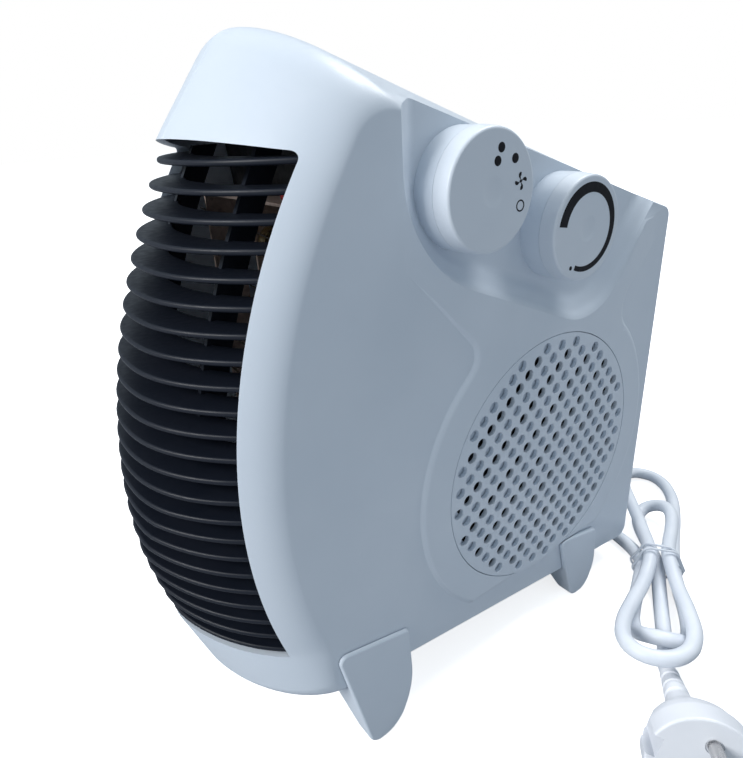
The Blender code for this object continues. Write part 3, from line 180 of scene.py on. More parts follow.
def bare_material(name, metallic=0.0, specular=0.5):
    material = bpy.data.materials.new(name)
    material.use_nodes = True
    shader = material.node_tree.nodes["Principled BSDF"]
    shader.inputs["Metallic"].default_value = metallic
    shader.inputs["Specular IOR Level"].default_value = specular
    return material, material.node_tree, shader


def wire_up(tree, shader, colour, roughness, height, depth):
    """Colour, roughness and a bump of so many millimetres onto the shader."""
    relief = node(tree, "Bump", [("Height", height), ("Distance", depth * MM), ("Strength", 1.0)])
    tree.links.new(colour, shader.inputs["Base Color"])
    tree.links.new(roughness, shader.inputs["Roughness"])
    tree.links.new(relief.outputs["Normal"], shader.inputs["Normal"])


def plastic(name, colour, shade, roughness, uneven=0.05, grain=GRAIN_SCALE, clouds=CLOUD_SCALE, depth=0.02,
            specular=0.5):
    material, tree, shader = bare_material(name, 0.0, specular)
    grained = node(tree, "Group", node_tree=GRAIN)
    for label, value in (("Colour", (*colour, 1)), ("Shade", (*shade, 1)), ("Roughness", roughness),
                         ("Unevenness", uneven), ("Grain", grain), ("Clouds", clouds)):
        grained.inputs[label].default_value = value
    wire_up(tree, shader, *(grained.outputs[label] for label in ("Colour", "Roughness", "Height")), depth)
    return material


print(GRAIN.name, "has", len(GRAIN.nodes), "nodes")

# %% [markdown]
# The shells are a cool, slightly bluish white. The slats are a blue-black with more gloss, so
# their rounded edges catch a line of light. The print on the knobs is a flat ink.

# %% Plastics
shell_white = plastic("shell white", (0.70, 0.765, 0.845), (0.665, 0.735, 0.82), 0.36, depth=0.012)
knob_white = plastic("knob white", (0.72, 0.775, 0.845), (0.69, 0.75, 0.825), 0.42, depth=0.012, clouds=30.0)
slat_black = plastic("slat blue black", (0.008, 0.011, 0.019), (0.012, 0.015, 0.024), 0.42,
                     depth=0.01, clouds=40.0, specular=0.24)
duct_black = plastic("duct black", (0.014, 0.014, 0.016), (0.03, 0.03, 0.032), 0.55, 0.1)
fan_black = plastic("fan black", (0.02, 0.021, 0.024), (0.04, 0.04, 0.042), 0.45, 0.1)
block_black = plastic("terminal black", (0.03, 0.03, 0.03), (0.05, 0.05, 0.05), 0.5, 0.1, depth=0.03)
switch_grey = plastic("switch grey", (0.33, 0.34, 0.36), (0.27, 0.28, 0.3), 0.5, 0.1, depth=0.03)
print_black = plastic("print black", (0.008, 0.008, 0.011), (0.013, 0.013, 0.017), 0.6, 0.06, depth=0.004,
                      specular=0.2)
cord_white = plastic("cord white", (0.76, 0.80, 0.86), (0.715, 0.76, 0.83), 0.43, 0.07, grain=1900.0,
                     clouds=70.0, depth=0.03)
plug_white = plastic("plug white", (0.78, 0.80, 0.845), (0.74, 0.765, 0.815), 0.38, clouds=45.0)
sleeve_red = plastic("sleeve red", (0.42, 0.02, 0.02), (0.3, 0.015, 0.015), 0.62, 0.1, depth=0.04)
print("plastics made")

# %% [markdown]
# Metals are drawn, stamped or turned, so their marks run one way. Stretching a noise along
# one axis with a Mapping node gives brushed lines, and a wave gives the stacked sheets of the
# motor's core and the turns of its coil.

# %% Metals and mica
def metal(name, colour, shade, roughness, stretch=(1.0, 1.0, 1.0), depth=0.01):
    material, tree, shader = bare_material(name, 1.0)
    place = own_place(tree)
    drawn = node(tree, "Mapping", [("Vector", place), ("Scale", stretch)]).outputs["Vector"]
    lines = noise(tree, drawn, 900.0)
    stain = noise(tree, place, 60.0, 3.0)
    colour_out = tint(tree, span(tree, stain, 0.35, 0.7, 0.0, 1.0), (*colour, 1), (*shade, 1))
    rough_out = span(tree, lines, 0.3, 0.7, roughness - 0.08, roughness + 0.1)
    wire_up(tree, shader, colour_out, rough_out, lines, depth)
    return material


def banded(name, colour, shade, roughness, pitch, metallic, direction="X"):
    material, tree, shader = bare_material(name, metallic)
    place = own_place(tree)
    wave = [("Vector", place), ("Scale", pi / (10.0 * pitch * MM)), ("Distortion", 0.4)]
    bands = node(tree, "TexWave", wave, wave_type="BANDS", bands_direction=direction).outputs["Fac"]
    stain = noise(tree, place, 90.0, 3.0)
    colour_out = tint(tree, bands, (*shade, 1), (*colour, 1))
    rough_out = span(tree, stain, 0.3, 0.7, roughness - 0.06, roughness + 0.12)
    wire_up(tree, shader, colour_out, rough_out, bands, 0.15)
    return material


def mica_board():
    """Pressed mica: brown flakes with dark speckles."""
    material, tree, shader = bare_material("mica board")
    place = own_place(tree)
    flakes = node(tree, "TexVoronoi", [("Vector", place), ("Scale", 420.0)]).outputs["Color"]
    grey = node(tree, "RGBToBW", [("Color", flakes)]).outputs["Val"]
    speck = noise(tree, place, 300.0, 3.0)
    brown = tint(tree, grey, (0.44, 0.32, 0.27, 1), (0.60, 0.47, 0.41, 1))
    dark = tint(tree, span(tree, speck, 0.6, 0.72, 0.0, 0.6), brown, (0.2, 0.14, 0.11, 1))
    wire_up(tree, shader, dark, span(tree, grey, 0.0, 1.0, 0.35, 0.6), grey, 0.05)
    return material


mica = mica_board()
nichrome = metal("nichrome wire", (0.50, 0.46, 0.42), (0.33, 0.27, 0.25), 0.4, (1.0, 8.0, 8.0))
steel = metal("turned steel", (0.58, 0.59, 0.61), (0.46, 0.47, 0.5), 0.3, (0.2, 1.0, 1.0))
pin_metal = metal("nickel pin", (0.62, 0.61, 0.60), (0.5, 0.49, 0.49), 0.26, (1.0, 0.2, 1.0), depth=0.006)
brass = metal("brass", (0.66, 0.53, 0.31), (0.5, 0.38, 0.2), 0.32)
core_sheets = banded("motor core sheets", (0.36, 0.37, 0.39), (0.15, 0.15, 0.17), 0.45, 1.0, 1.0)
winding = banded("copper winding", (0.68, 0.30, 0.13), (0.28, 0.1, 0.04), 0.36, 0.9, 0.85, "Y")

DRESS = (
    (duct_black, "air_duct"), (block_black, "terminal_block"), (fan_black, "fan_wheel"),
    (switch_grey, "function_switch", "thermostat_body"), (mica, "element_board_"),
    (nichrome, "element_wire_"), (sleeve_red, "thermal_fuse"), (brass, "bimetal_blade", "thermal_cutout"),
    (core_sheets, "motor_stator"), (winding, "motor_coil"),
    (steel, "function_spindle", "thermostat_spindle", "motor_rotor", "motor_bracket_", "housing_screw_"))
for dress, *starts in DRESS:
    dressed = [name for name in nodes if name.startswith(tuple(starts))]
    for name in dressed:
        for material_slot in nodes[name].material_slots:
            material_slot.material = dress
    print(dress.name, "on", *dressed)


# %% [markdown]
# ## Tools for shapes
# A housing like this is drawn as outlines in the side view. Rounding a corner, growing an
# outline and finding where two lines cross are the three things that every outline needs.

# %% Outlines
def meet(point, direction, other, other_direction):
    (py, pz), (dy, dz) = point, direction
    (qy, qz), (ey, ez) = other, other_direction
    scale = ((qy - py) * ez - (qz - pz) * ey) / (dy * ez - dz * ey)
    return py + dy * scale, pz + dz * scale


def fillet(before, corner, after, radius, segments):
    corner = Vector(corner)
    to_before = (Vector(before) - corner).normalized()
    to_after = (Vector(after) - corner).normalized()
    half = to_before.angle(to_after) / 2
    centre = corner + (to_before + to_after).normalized() * radius / sin(half)
    start = corner + to_before * radius / tan(half) - centre
    end = corner + to_after * radius / tan(half) - centre
    turn = atan2(start.x * end.y - start.y * end.x, start.dot(end))
    return [swung(centre, turn * i / segments, *start) for i in range(segments + 1)]


def rounded(corners):
    points = []
    for i, (y, z, radius, segments) in enumerate(corners):
        points += fillet(corners[i - 1][:2], (y, z), corners[(i + 1) % len(corners)][:2], radius, segments)
    return points


def grown(points, distance):
    """The same outline, point for point, grown outwards."""
    area = sum(a[0] * b[1] - b[0] * a[1] for a, b in zip(points, points[1:] + points[:1]))
    way = 1 if area > 0 else -1
    made = []
    for i, (y, z) in enumerate(points):
        before, after = points[i - 1], points[(i + 1) % len(points)]
        into = Vector((y - before[0], z - before[1])).normalized()
        out = Vector((after[0] - y, after[1] - z)).normalized()
        along = (into + out).normalized()
        stretch = distance / max(along.dot(out), 0.5)
        made.append((y + way * along.y * stretch, z - way * along.x * stretch))
    return made


def swung(middle, turn, u, v=0.0):
    """The point (u, v), turned and then set off from the middle."""
    return middle[0] + u * cos(turn) - v * sin(turn), middle[1] + u * sin(turn) + v * cos(turn)


def circle(y, z, radius, sides):
    return [swung((y, z), 2 * pi * i / sides, radius) for i in range(sides)]


print("two lines meet at", meet((0, 0), (1, 1), (4, 0), (-1, 1)))

# %% [markdown]
# Solids start as rings of points. Bridging rings gives a loft, extruding a filled ring gives
# a block, and spinning a profile gives a turned piece.

# %% Solids
def ring(bm, points):
    verts = [bm.verts.new(Vector(point)) for point in points]
    return [bm.edges.new((verts[i - 1], verts[i])) for i in range(len(verts))]


def loft(rings):
    bm = bmesh.new()
    loops = [ring(bm, points) for points in rings]
    for near, far in zip(loops, loops[1:]):
        bmesh.ops.bridge_loops(bm, edges=near + far)
    for loop in (loops[0], loops[-1]):
        bmesh.ops.contextual_create(bm, geom=loop)
    return bm


def block(outline, push):
    bm = bmesh.new()
    bmesh.ops.contextual_create(bm, geom=ring(bm, outline))
    grew = bmesh.ops.extrude_face_region(bm, geom=bm.faces[:])
    moved = [item for item in grew["geom"] if isinstance(item, bmesh.types.BMVert)]
    bmesh.ops.translate(bm, verts=moved, vec=Vector(push))
    return bm


def block_x(outline, low, high):
    return block([(low, y, z) for y, z in outline], (high - low, 0, 0))


def turned(profile, centre, direction, steps):
    """A profile of (radius, height) points spun about an axis through the centre."""
    bm = bmesh.new()
    verts = [bm.verts.new((radius, 0, height)) for radius, height in profile]
    edges = [bm.edges.new(pair) for pair in zip(verts, verts[1:])]
    bmesh.ops.spin(bm, geom=verts + edges, cent=(0, 0, 0), axis=(0, 0, 1), angle=2 * pi, steps=steps,
                   use_merge=True)
    bmesh.ops.remove_doubles(bm, verts=bm.verts, dist=0.0005)
    turn = Vector(direction).to_track_quat("Z", "Y").to_matrix().to_4x4()
    bmesh.ops.transform(bm, matrix=Matrix.Translation(centre) @ turn, verts=bm.verts)
    return bm


def rod(start, end, radius, steps=48):
    start, end = Vector(start), Vector(end)
    length = (end - start).length
    return turned([(0, 0), (radius, 0), (radius, length), (0, length)], start, end - start, steps)


def soft_profile(corners):
    """A profile whose corners (radius, height, rounding) are rounded where that isn't 0."""
    points = []
    for i, (radius, height, rounding) in enumerate(corners):
        if rounding:
            points += fillet(corners[i - 1][:2], (radius, height), corners[i + 1][:2], rounding, 5)
        else:
            points.append((radius, height))
    return points


def mesh_of(name, bm):
    mesh = bpy.data.meshes.new(name)
    bm.to_mesh(mesh)
    bm.free()
    return mesh


def merged(parts):
    whole = bmesh.new()
    for part in parts:
        kept = mesh_of("kept", part)
        whole.from_mesh(kept)
        bpy.data.meshes.remove(kept)
    return whole


def rods_x(sites, low, high, radius, steps):
    return merged([rod((low, y, z), (high, y, z), radius, steps) for y, z in sites])


# %% [markdown]
# A finished piece gets its normals, its place in the frame, its material and the body that it
# rides on. Pieces with holes and pockets are carved by Boolean modifiers first, and their
# result is kept as a plain mesh. Weighted normals keep large flats flat beside soft corners.

# %% Finished pieces
def as_object(name, bm):
    bmesh.ops.recalc_face_normals(bm, faces=bm.faces)
    bmesh.ops.transform(bm, matrix=TO_FRAME, verts=bm.verts)
    return link(name, mesh_of(name, bm))


def carve(piece, tool, operation="DIFFERENCE"):
    """Cut the tool out of the piece, or join it on; the tool is used up."""
    cutter = tool if isinstance(tool, bpy.types.Object) else as_object(piece.name + "_tool", tool)
    step = piece.modifiers.new("carve", "BOOLEAN")
    step.operation = operation
    step.solver = "EXACT"
    step.object = cutter
    result = evaluated(piece)
    old = piece.data
    piece.modifiers.clear()
    piece.data = result
    bpy.data.meshes.remove(old)
    discard(cutter)


def evaluated(piece):
    """What an object's modifiers or curve settings make, as a mesh."""
    return bpy.data.meshes.new_from_object(piece.evaluated_get(bpy.context.evaluated_depsgraph_get()))


def discard(piece):
    old = piece.data
    bpy.data.objects.remove(piece)
    bpy.data.meshes.remove(old)


def finish(piece, body, replaced=(), material=shell_white, sharp_deg=32.0):
    piece.data.materials.clear()
    piece.data.materials.append(material)
    piece.data.shade_smooth()
    piece.data.set_sharp_from_angle(angle=radians(sharp_deg))
    piece.modifiers.new("weighted normals", "WEIGHTED_NORMAL").keep_sharp = True
    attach(piece, body)
    if replaced:
        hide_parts(*replaced)
    print(piece.name, len(piece.data.polygons), "faces")
    return piece


# %% [markdown]
# ## The cord
# The cord leaves the back through its strain relief, lies behind the heater and is folded
# twice into a hank beside it, with the plug in front. It is one smooth line, read off the same
# numbers that the CAD model uses, so it lies exactly where its solids are.

# %% Cord sizes
CORD = 7.0
BACK_Y = 124.0
GLAND_Z, GLAND_LENGTH = 37.0, 28.0
TIE = Vector((75.5, 116.0))
HANK_AIM = radians(-56.2)
LAYER, FIRST_RISE, SECOND_RISE, RISE_SPAN = 7.8, 8.8, 7.1, 0.239
FRONT_FOLDS, REAR_FOLDS = (57.8, 75.9), (95.3, 52.4)
FRONT_LOBES, REAR_LOBES, LAST_LOBE = (8.1, 14.1), (11.1, 7.0), 9.0
FRONT_LEANS, REAR_LEANS = (-2.2, -8.0), (-2.9, 0.8)
WAISTS = (8.0, 4.5)
TIE_WIRE = 1.2
RELIEF_AT = Vector((115.5, 56.6))
PLUG_AIM, PLUG_TILT = radians(-51.2), radians(16.2)
PLUG_RADIUS, RELIEF_LENGTH, PLUG_LENGTH, PLUG_RIM = 19.0, 24.0, 30.0, 9.0
print("folds reach", FRONT_FOLDS, REAR_FOLDS)

# %% [markdown]
# The folds of the hank come from a formula: one turn goes out to the front fold and back round
# the rear one, and each strand keeps its own height, so that none meet where they cross.

# %% The line of the cord
def smooth(low, high, value):
    share = min(max((value - low) / (high - low), 0.0), 1.0)
    return share * share * (3 - 2 * share)


def bump(centre, width, value):
    """A smooth hump, 1 at its centre and 0 beyond its width."""
    return (1 - min(abs(value - centre) / width, 1.0) ** 2) ** 2


def on_floor(s, t, z):
    """s runs along the hank towards the plug and t across it, both from the tie."""
    return Vector((*swung(TIE, HANK_AIM, s, t), z))


def hank_height(turns, s):
    height = CORD / 2 + (TIE_WIRE + 2 * GAP) * bump(0.0, 24.0, s)
    if turns < 1:
        return height + LAYER * smooth(0.74, 0.93, turns) + FIRST_RISE * bump(0.25, 0.12, turns)
    return height + LAYER * (1 - smooth(1.64, 1.9, turns)) + SECOND_RISE * bump(1.25, RISE_SPAN, turns)


def hank_point(turns):
    second = turns >= 1
    across, along = cos(2 * pi * turns), sin(2 * pi * turns)
    fold = (FRONT_FOLDS if along > 0 else REAR_FOLDS)[second]
    lobe = (FRONT_LOBES if along > 0 else REAR_LOBES)[second]
    lean = (FRONT_LEANS if along > 0 else REAR_LEANS)[second]
    if second:
        waist = WAISTS[1] * (1 - smooth(1.7, 1.95, turns))
        if along <= 0:
            lobe += (LAST_LOBE - lobe) * smooth(1.62, 1.9, turns)
    else:
        waist = WAISTS[0] + (WAISTS[1] - WAISTS[0]) * smooth(0.8, 1.0, turns)
    t = lean * along * along - across * (waist + 2 * lobe * abs(along) ** 1.6)
    return on_floor(fold * along, t, hank_height(turns, fold * along))


def even_points(points, spacing):
    """A smooth curve through the points, read off at even steps."""
    points = [Vector(point) for point in points]
    fine = []
    for i in range(len(points) - 1):
        a, b, c, d = points[max(i - 1, 0)], points[i], points[i + 1], points[min(i + 2, len(points) - 1)]
        for j in range(12):
            u = j / 12
            fine.append(0.5 * (2 * b + (c - a) * u + (2 * a - 5 * b + 4 * c - d) * u * u
                               + (3 * b - a - 3 * c + d) * u ** 3))
    fine.append(points[-1])
    lengths = [0.0]
    for low, high in zip(fine, fine[1:]):
        lengths.append(lengths[-1] + (high - low).length)
    count, even, at = round(lengths[-1] / spacing), [], 0
    for i in range(count + 1):
        wanted = lengths[-1] * i / count
        while at < len(lengths) - 2 and lengths[at + 1] < wanted:
            at += 1
        share = (wanted - lengths[at]) / (lengths[at + 1] - lengths[at])
        even.append(fine[at].lerp(fine[at + 1], min(share, 1.0)))
    return even


plug_way = Vector((cos(PLUG_TILT) * cos(PLUG_AIM), cos(PLUG_TILT) * sin(PLUG_AIM), sin(PLUG_TILT)))
rim_run = RELIEF_LENGTH + PLUG_LENGTH - PLUG_RIM
relief = Vector((*RELIEF_AT, PLUG_RADIUS * cos(PLUG_TILT) - rim_run * sin(PLUG_TILT) + 0.05))
split_run = Vector((cos(radians(-7.0)), sin(radians(-7.0)), 0.0))
split = Vector((19.5, 127.6, CORD / 2))
cord_start = Vector((0, BACK_Y + GAP + GLAND_LENGTH + GAP, GLAND_Z))
route = [cord_start, cord_start + Vector((0, CORD, 0)), (0, 166, 35.0), (-2, 177, 28.5), (-7, 188, 19.0),
         (-14, 197, 10.0), (-24, 204, 4.6), (-37, 206.5, 3.5), (-50, 203.5, 3.5), (-60, 195, 3.5),
         (-65, 182, 3.5), (-63, 168, 3.5), (-55, 155, 3.5), (-42, 145, 3.5), (-25, 137, 3.5), (-6, 131.6, 3.5),
         split - split_run * (CORD + GAP / 2), split + split_run * (CORD + GAP / 2), (43.0, 125.2, 3.5),
         (59.3, 119.6, 4.2)]
route += [hank_point(i / 24) for i in range(49)]
reach = RELIEF_AT - TIE
route += [(*(TIE + reach * s / reach.length), hank_height(2, s)) for s in (14.0, 28.0, 42.0, 54.0)]
route += [relief - plug_way * (CORD + GAP), relief - plug_way * GAP]
line = [in_frame(point) for point in even_points(route, 2.5)]


# %% [markdown]
# A curve with a round bevel takes the place of both CAD nodes of the cord.

# %% The cord
def wire_curve(name, points, diameter, replaced, cyclic=False, resolution=5):
    data = bpy.data.curves.new(name, "CURVE")
    data.dimensions = "3D"
    data.bevel_depth = diameter / 2
    data.bevel_resolution = resolution
    data.use_fill_caps = not cyclic
    spline = data.splines.new("POLY")
    spline.points.add(len(points) - 1)
    for point, place in zip(spline.points, points):
        point.co = (*place, 1)
    spline.use_cyclic_u = cyclic
    data.materials.append(cord_white)
    made = link(name, data)
    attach(made, "heater")
    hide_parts(*replaced)
    print(name, "in", len(points), "points")
    return made


mains_cord = wire_curve("mains_cord", line, CORD * MM, ("cord_tail", "cord_hank"))

# %% [markdown]
# The tie is a thin plastic-covered wire that goes twice round the waist of the hank and
# crosses over itself on top.

# %% Tie
TIE_SWAY, TIE_LIFTS = 3.2, (-0.11, 0.55)
tie_reach = CORD / 2 + GAP + TIE_WIRE / 2
low_z, high_z = hank_height(0.0, 0.0), hank_height(1.0, 0.0)
tie_loop = []
for t, z, start in ((-WAISTS[0], low_z, 180), (WAISTS[0], low_z, 270),
                    (WAISTS[1], high_z, 0), (-WAISTS[1], high_z, 90)):
    tie_loop += [(t, z, radians(start + 90 * i / 6)) for i in range(7)]
turns_of_tie = []
for turn, lift in enumerate(TIE_LIFTS):
    for i, (t, z, angle) in enumerate(tie_loop):
        share = (turn + i / len(tie_loop)) / 2
        turns_of_tie.append(on_floor(TIE_SWAY * cos(2 * pi * share), t + (tie_reach + lift) * cos(angle),
                                     z + (tie_reach + lift) * sin(angle)))
tie = wire_curve("cord_tie_wire", [in_frame(p) for p in turns_of_tie], 1.25 * MM, ("cord_tie",), True, 2)

# %% [markdown]
# The strain relief is a soft taper with rings cut into it, so that it bends little by little.

# %% Strain relief
WALL = 2.4
FLANGE_RADIUS, FLANGE_THICK, NECK_RADIUS = 8.2, 1.5, 6.3
RINGS, RING_PITCH, RING_CUT = 6, 3.9, 0.9
wall_run = FLANGE_THICK + WALL + 2 * GAP
gland_end = wall_run + GLAND_LENGTH
gland_profile = soft_profile([
    (0, 0, 0), (FLANGE_RADIUS, 0, 0), (FLANGE_RADIUS, FLANGE_THICK, 0), (NECK_RADIUS, FLANGE_THICK, 0),
    (NECK_RADIUS, wall_run, 0), (FLANGE_RADIUS, wall_run, 0.3), (FLANGE_RADIUS, wall_run + 1.6, 0.6),
    (6.4, wall_run + 2.6, 0)])
for i in range(RINGS):
    height, radius = wall_run + 3.6 + i * RING_PITCH, 6.0 - 0.24 * (i + 1)
    gland_profile += [(radius, height), (radius - RING_CUT, height + 0.3), (radius - RING_CUT, height + 1.3),
                      (radius - 0.1, height + 1.6)]
gland_profile += [(4.4, gland_end - 0.6), (4.0, gland_end), (0, gland_end)]
gland_start = (0, BACK_Y - WALL - GAP - FLANGE_THICK, GLAND_Z)
gland = as_object("strain_relief", turned(gland_profile, gland_start, (0, 1, 0), 48))
finish(gland, "heater", ("cord_gland",), cord_white)

# %% [markdown]
# ## The plug
# A round earthed plug, turned about its own axis: a ribbed strain relief swells into a smooth
# bell and ends in a flat face. Two recesses for the earth springs and one hole are carved out.

# %% Plug
PLUG_ROLL, PIN_OFFSET, PIN_RADIUS, PIN_RUN = radians(18.0), 9.5, 2.4, 19.8
EARTH_RECESS = (6.0, 8.0, 20.0)
FACE_HOLE_OFFSET, FACE_HOLE_RADIUS, PIN_DISH_RADIUS = 10.0, 2.6, 3.1
plug_run = RELIEF_LENGTH + PLUG_LENGTH
plug_profile = [(0, 0), (3.9, 0)]
for i in range(3):
    height, radius = 3.0 + 18.0 * i / 3, 4.0 + 1.4 * i / 3
    plug_profile += [(radius, height), (radius - 0.5, height + 0.5), (radius - 0.5, height + 2.2),
                     (radius + 0.3, height + 2.8)]
plug_profile += [(6.2, 22.0), (7.0, 24.4), (8.3, 27.2), (10.4, 30.6), (13.0, 34.0), (15.4, 37.0), (16.9, 39.6),
                 (17.6, 42.0)]
plug_profile += soft_profile([(17.9, plug_run - PLUG_RIM - 1.0, 0), (PLUG_RADIUS, plug_run - PLUG_RIM, 0.4),
                              (PLUG_RADIUS, plug_run, 1.0), (0, plug_run, 0)])
plug = as_object("plug", turned(plug_profile, relief, plug_way, 72))
plug_face = relief + plug_way * plug_run
level = Vector((-plug_way.y, plug_way.x, 0.0)).normalized()
upright_way = plug_way.cross(level)
pin_way = (-upright_way if upright_way.z < 0 else upright_way) * cos(PLUG_ROLL) + level * sin(PLUG_ROLL)
side_way = plug_way.cross(pin_way)


def slab(middle, first, second, third):
    """A box about its middle, with its three edges as vectors."""
    corner = middle - (first + second + third) / 2
    return block([corner, corner + first, corner + first + second, corner + second], third)


for side in (-1, 1):
    middle = plug_face + side_way * side * (PLUG_RADIUS - 1.0) - plug_way * 9.0
    carve(plug, slab(middle, *(way * size for way, size in zip((side_way, pin_way, plug_way), EARTH_RECESS))))
face_hole = plug_face - side_way * FACE_HOLE_OFFSET
carve(plug, rod(face_hole - plug_way * 12.0, face_hole + plug_way * 4.0, FACE_HOLE_RADIUS, 32))
pin_feet = [plug_face + pin_way * side * PIN_OFFSET for side in (-1, 1)]
carve(plug, merged([rod(at - plug_way * 0.6, at + plug_way, PIN_DISH_RADIUS, 32) for at in pin_feet]))
soft = plug.modifiers.new("soft edges", "BEVEL")
soft.width, soft.segments, soft.limit_method, soft.angle_limit = 0.35 * MM, 2, "ANGLE", radians(50)
soft.use_clamp_overlap = True
finish(plug, "heater", ("plug_body",), plug_white)

pin_profile = soft_profile([(0, 0, 0), (PIN_RADIUS, 0, 0), (PIN_RADIUS, PIN_RUN, 1.6), (0, PIN_RUN, 0)])
for at, word in zip(reversed(pin_feet), ("upper", "lower")):
    pin = as_object(f"plug_pin_{word}_round", turned(pin_profile, at - plug_way * 0.5, plug_way, 32))
    finish(pin, "heater", (f"plug_pin_{word}",), pin_metal)

# %% [markdown]
# ## The shells
# Each half shell is a loft of the side outline. The outline starts at the seam and is blended
# towards the smaller outline of the flat side face, so that the nose is round and the flat
# face stays flat. A fine chamfer at the seam makes the joint line that catches the shadow.

# %% Body outline
HALF_WIDTH, NOSE_DEPTH = 53.0, 37.5
FRONT_RADIUS, FRONT_Y, FRONT_CENTRE_Z = 195.0, -119.8, 118.0
FRONT_LOW, FRONT_HIGH, FLAT_HIGH = radians(-18.0), radians(38.0), radians(32.0)
TOP_ANGLE, BOTTOM_ANGLE = radians(21.6), radians(3.7)
TOP_SLOPE, BOTTOM_SLOPE = tan(TOP_ANGLE), tan(BOTTOM_ANGLE)
TOP_BACK_Z, BOTTOM_BACK_Z = 192.5, 9.1
FRONT_STEPS, NOSE_STEPS, NOSE_POWER = 44, 22, 1.6
SEAM_CHAMFER = ((0.15, 0.7), (0.3, 0.3), (0.8, 0.0))    # distance from the middle plane, inset


def top_z(y, inset=0.0):
    return TOP_BACK_Z + (BACK_Y - y) * TOP_SLOPE - inset / cos(TOP_ANGLE)


def bottom_z(y, inset=0.0):
    return BOTTOM_BACK_Z + (BACK_Y - y) * BOTTOM_SLOPE + inset / cos(BOTTOM_ANGLE)


def closed_by(edge, corners, radii):
    """The front edge and four rounded corners: top front, top back, bottom back, bottom front."""
    points, route_back = list(edge), [edge[-1], *corners, edge[0]]
    for i, (radius, segments) in enumerate(zip(radii, (12, 10, 10, 14))):
        points += fillet(*route_back[i:i + 3], radius, segments)
    return points[:-1]


def front_arc(radius, last, setback=0.0):
    arc = []
    for i in range(FRONT_STEPS + 1):
        angle = FRONT_LOW + (last - FRONT_LOW) * i / FRONT_STEPS
        arc.append((FRONT_Y + FRONT_RADIUS - radius * cos(angle) + setback,
                    FRONT_CENTRE_Z + radius * sin(angle)))
    return arc


def outer_outline(inset):
    """The body's outline in the middle plane, upwards along the front and round."""
    arc, back = front_arc(FRONT_RADIUS - inset, FRONT_HIGH), BACK_Y - inset
    top_front = meet(arc[-1], (sin(FRONT_HIGH), cos(FRONT_HIGH)), (0, top_z(0, inset)), (1, -TOP_SLOPE))
    bottom_front = meet(arc[0], (sin(FRONT_LOW), cos(FRONT_LOW)), (0, bottom_z(0, inset)), (1, -BOTTOM_SLOPE))
    top_back, bottom_back = (back, top_z(back, inset)), (back, bottom_z(back, inset))
    return closed_by(arc, (top_front, top_back, bottom_back, bottom_front),
                     (12.0 - inset, 9.0 - inset, 9.0 - inset, 16.0 - inset))


def flat_outline(inset):
    """The edge of the flat side face, point for point beside the outer outline."""
    edge, back = front_arc(FRONT_RADIUS, FLAT_HIGH, NOSE_DEPTH + inset), BACK_Y - 5.5 - inset
    low_y = edge[0][0] + 1.0
    top_back, top_over = (back, top_z(back, 4.3 + inset)), (-38.0, top_z(-38.0, 18.0 + inset))
    top_front = meet(edge[-1], (sin(FLAT_HIGH), cos(FLAT_HIGH)), top_over,
                     (top_back[0] - top_over[0], top_back[1] - top_over[1]))
    bottom_back = (back, bottom_z(back, 3.0 + inset))
    bottom_front = (low_y, min(bottom_z(low_y, 14.5 + inset), edge[0][1] - 4.0))
    return closed_by(edge, (top_front, top_back, bottom_back, bottom_front), (14.0 + inset, 5.0, 5.0, 9.0))


def body_rings(side, inset=0.0, start=None):
    """Rings from the seam out to one side face, following the rounded nose."""
    outer, flat, half = outer_outline(inset), flat_outline(inset * 0.5), HALF_WIDTH - inset
    first = SEAM_CHAMFER if start is None else ((start, 0.0),)
    rings = [[(side * x, y, z) for y, z in outer_outline(inset + cut)] for x, cut in first]
    for step in range(1, NOSE_STEPS + 1):
        angle = pi / 2 * step / NOSE_STEPS
        x, share = half * sin(angle) ** (2 / NOSE_POWER), 1 - max(cos(angle), 0.0) ** (2 / NOSE_POWER)
        rings.append([(side * x, yo + (yf - yo) * share, zo + (zf - zo) * share)
                      for (yo, zo), (yf, zf) in zip(outer, flat)])
    return rings


print("outline in", len(outer_outline(0.0)), "points")

# %% [markdown]
# The control side carries a raised panel with a soft edge, a scoop for the knobs and a pocket
# for the intake disc. The scoop's wall is an S: round at the lip and hollow at the floor.

# %% Panel, scoop and openings
PANEL_RISE, INTAKE_Y, INTAKE_Z, INTAKE_RADIUS, INTAKE_THICK = 1.5, 42.1, 93.1, 57.0, 2.0
KNOB_SITES = ((-5.1, 211.5), (45.0, 193.0))
KNOB_FACE_X, KNOB_RADIUS, KNOB_HEIGHT = 63.0, 19.5, 5.8
RECESS_FLOOR = 48.0
OUTLET_HALF, OUTLET_LOW, OUTLET_HIGH = 46.5, 61.0, 229.0
SPINDLE_BORE = 3.3
PANEL_FACE_X, PANEL_CIRCLE = HALF_WIDTH + PANEL_RISE, 72.0
HOLE_PITCH, HOLE_TURN = 6.7, radians(39.4)
BOSS_RADIUS, BOSS_LENGTH, SCREW_HOLE, HEAD_HOLE, HEAD_SEAT_X = 4.6, 24.0, 1.8, 4.0, -24.1
SCREW_SITES = ((-40.0, 242.0, 70.0, 10.0), (115.0, 178.0, 0.0, 7.0), (115.0, 58.0, 0.0, 7.0),
               (-62.0, 32.0, 264.0, 7.0))      # y, z, where the boss leans in degrees, how far
PANEL_EDGE = ((-0.8, 0.0), (0.0, -0.05), (0.12, -0.4), (0.4, -0.8), (0.8, -1.2), (1.15, -1.65), (1.38, -2.25),
              (PANEL_RISE, -3.0))
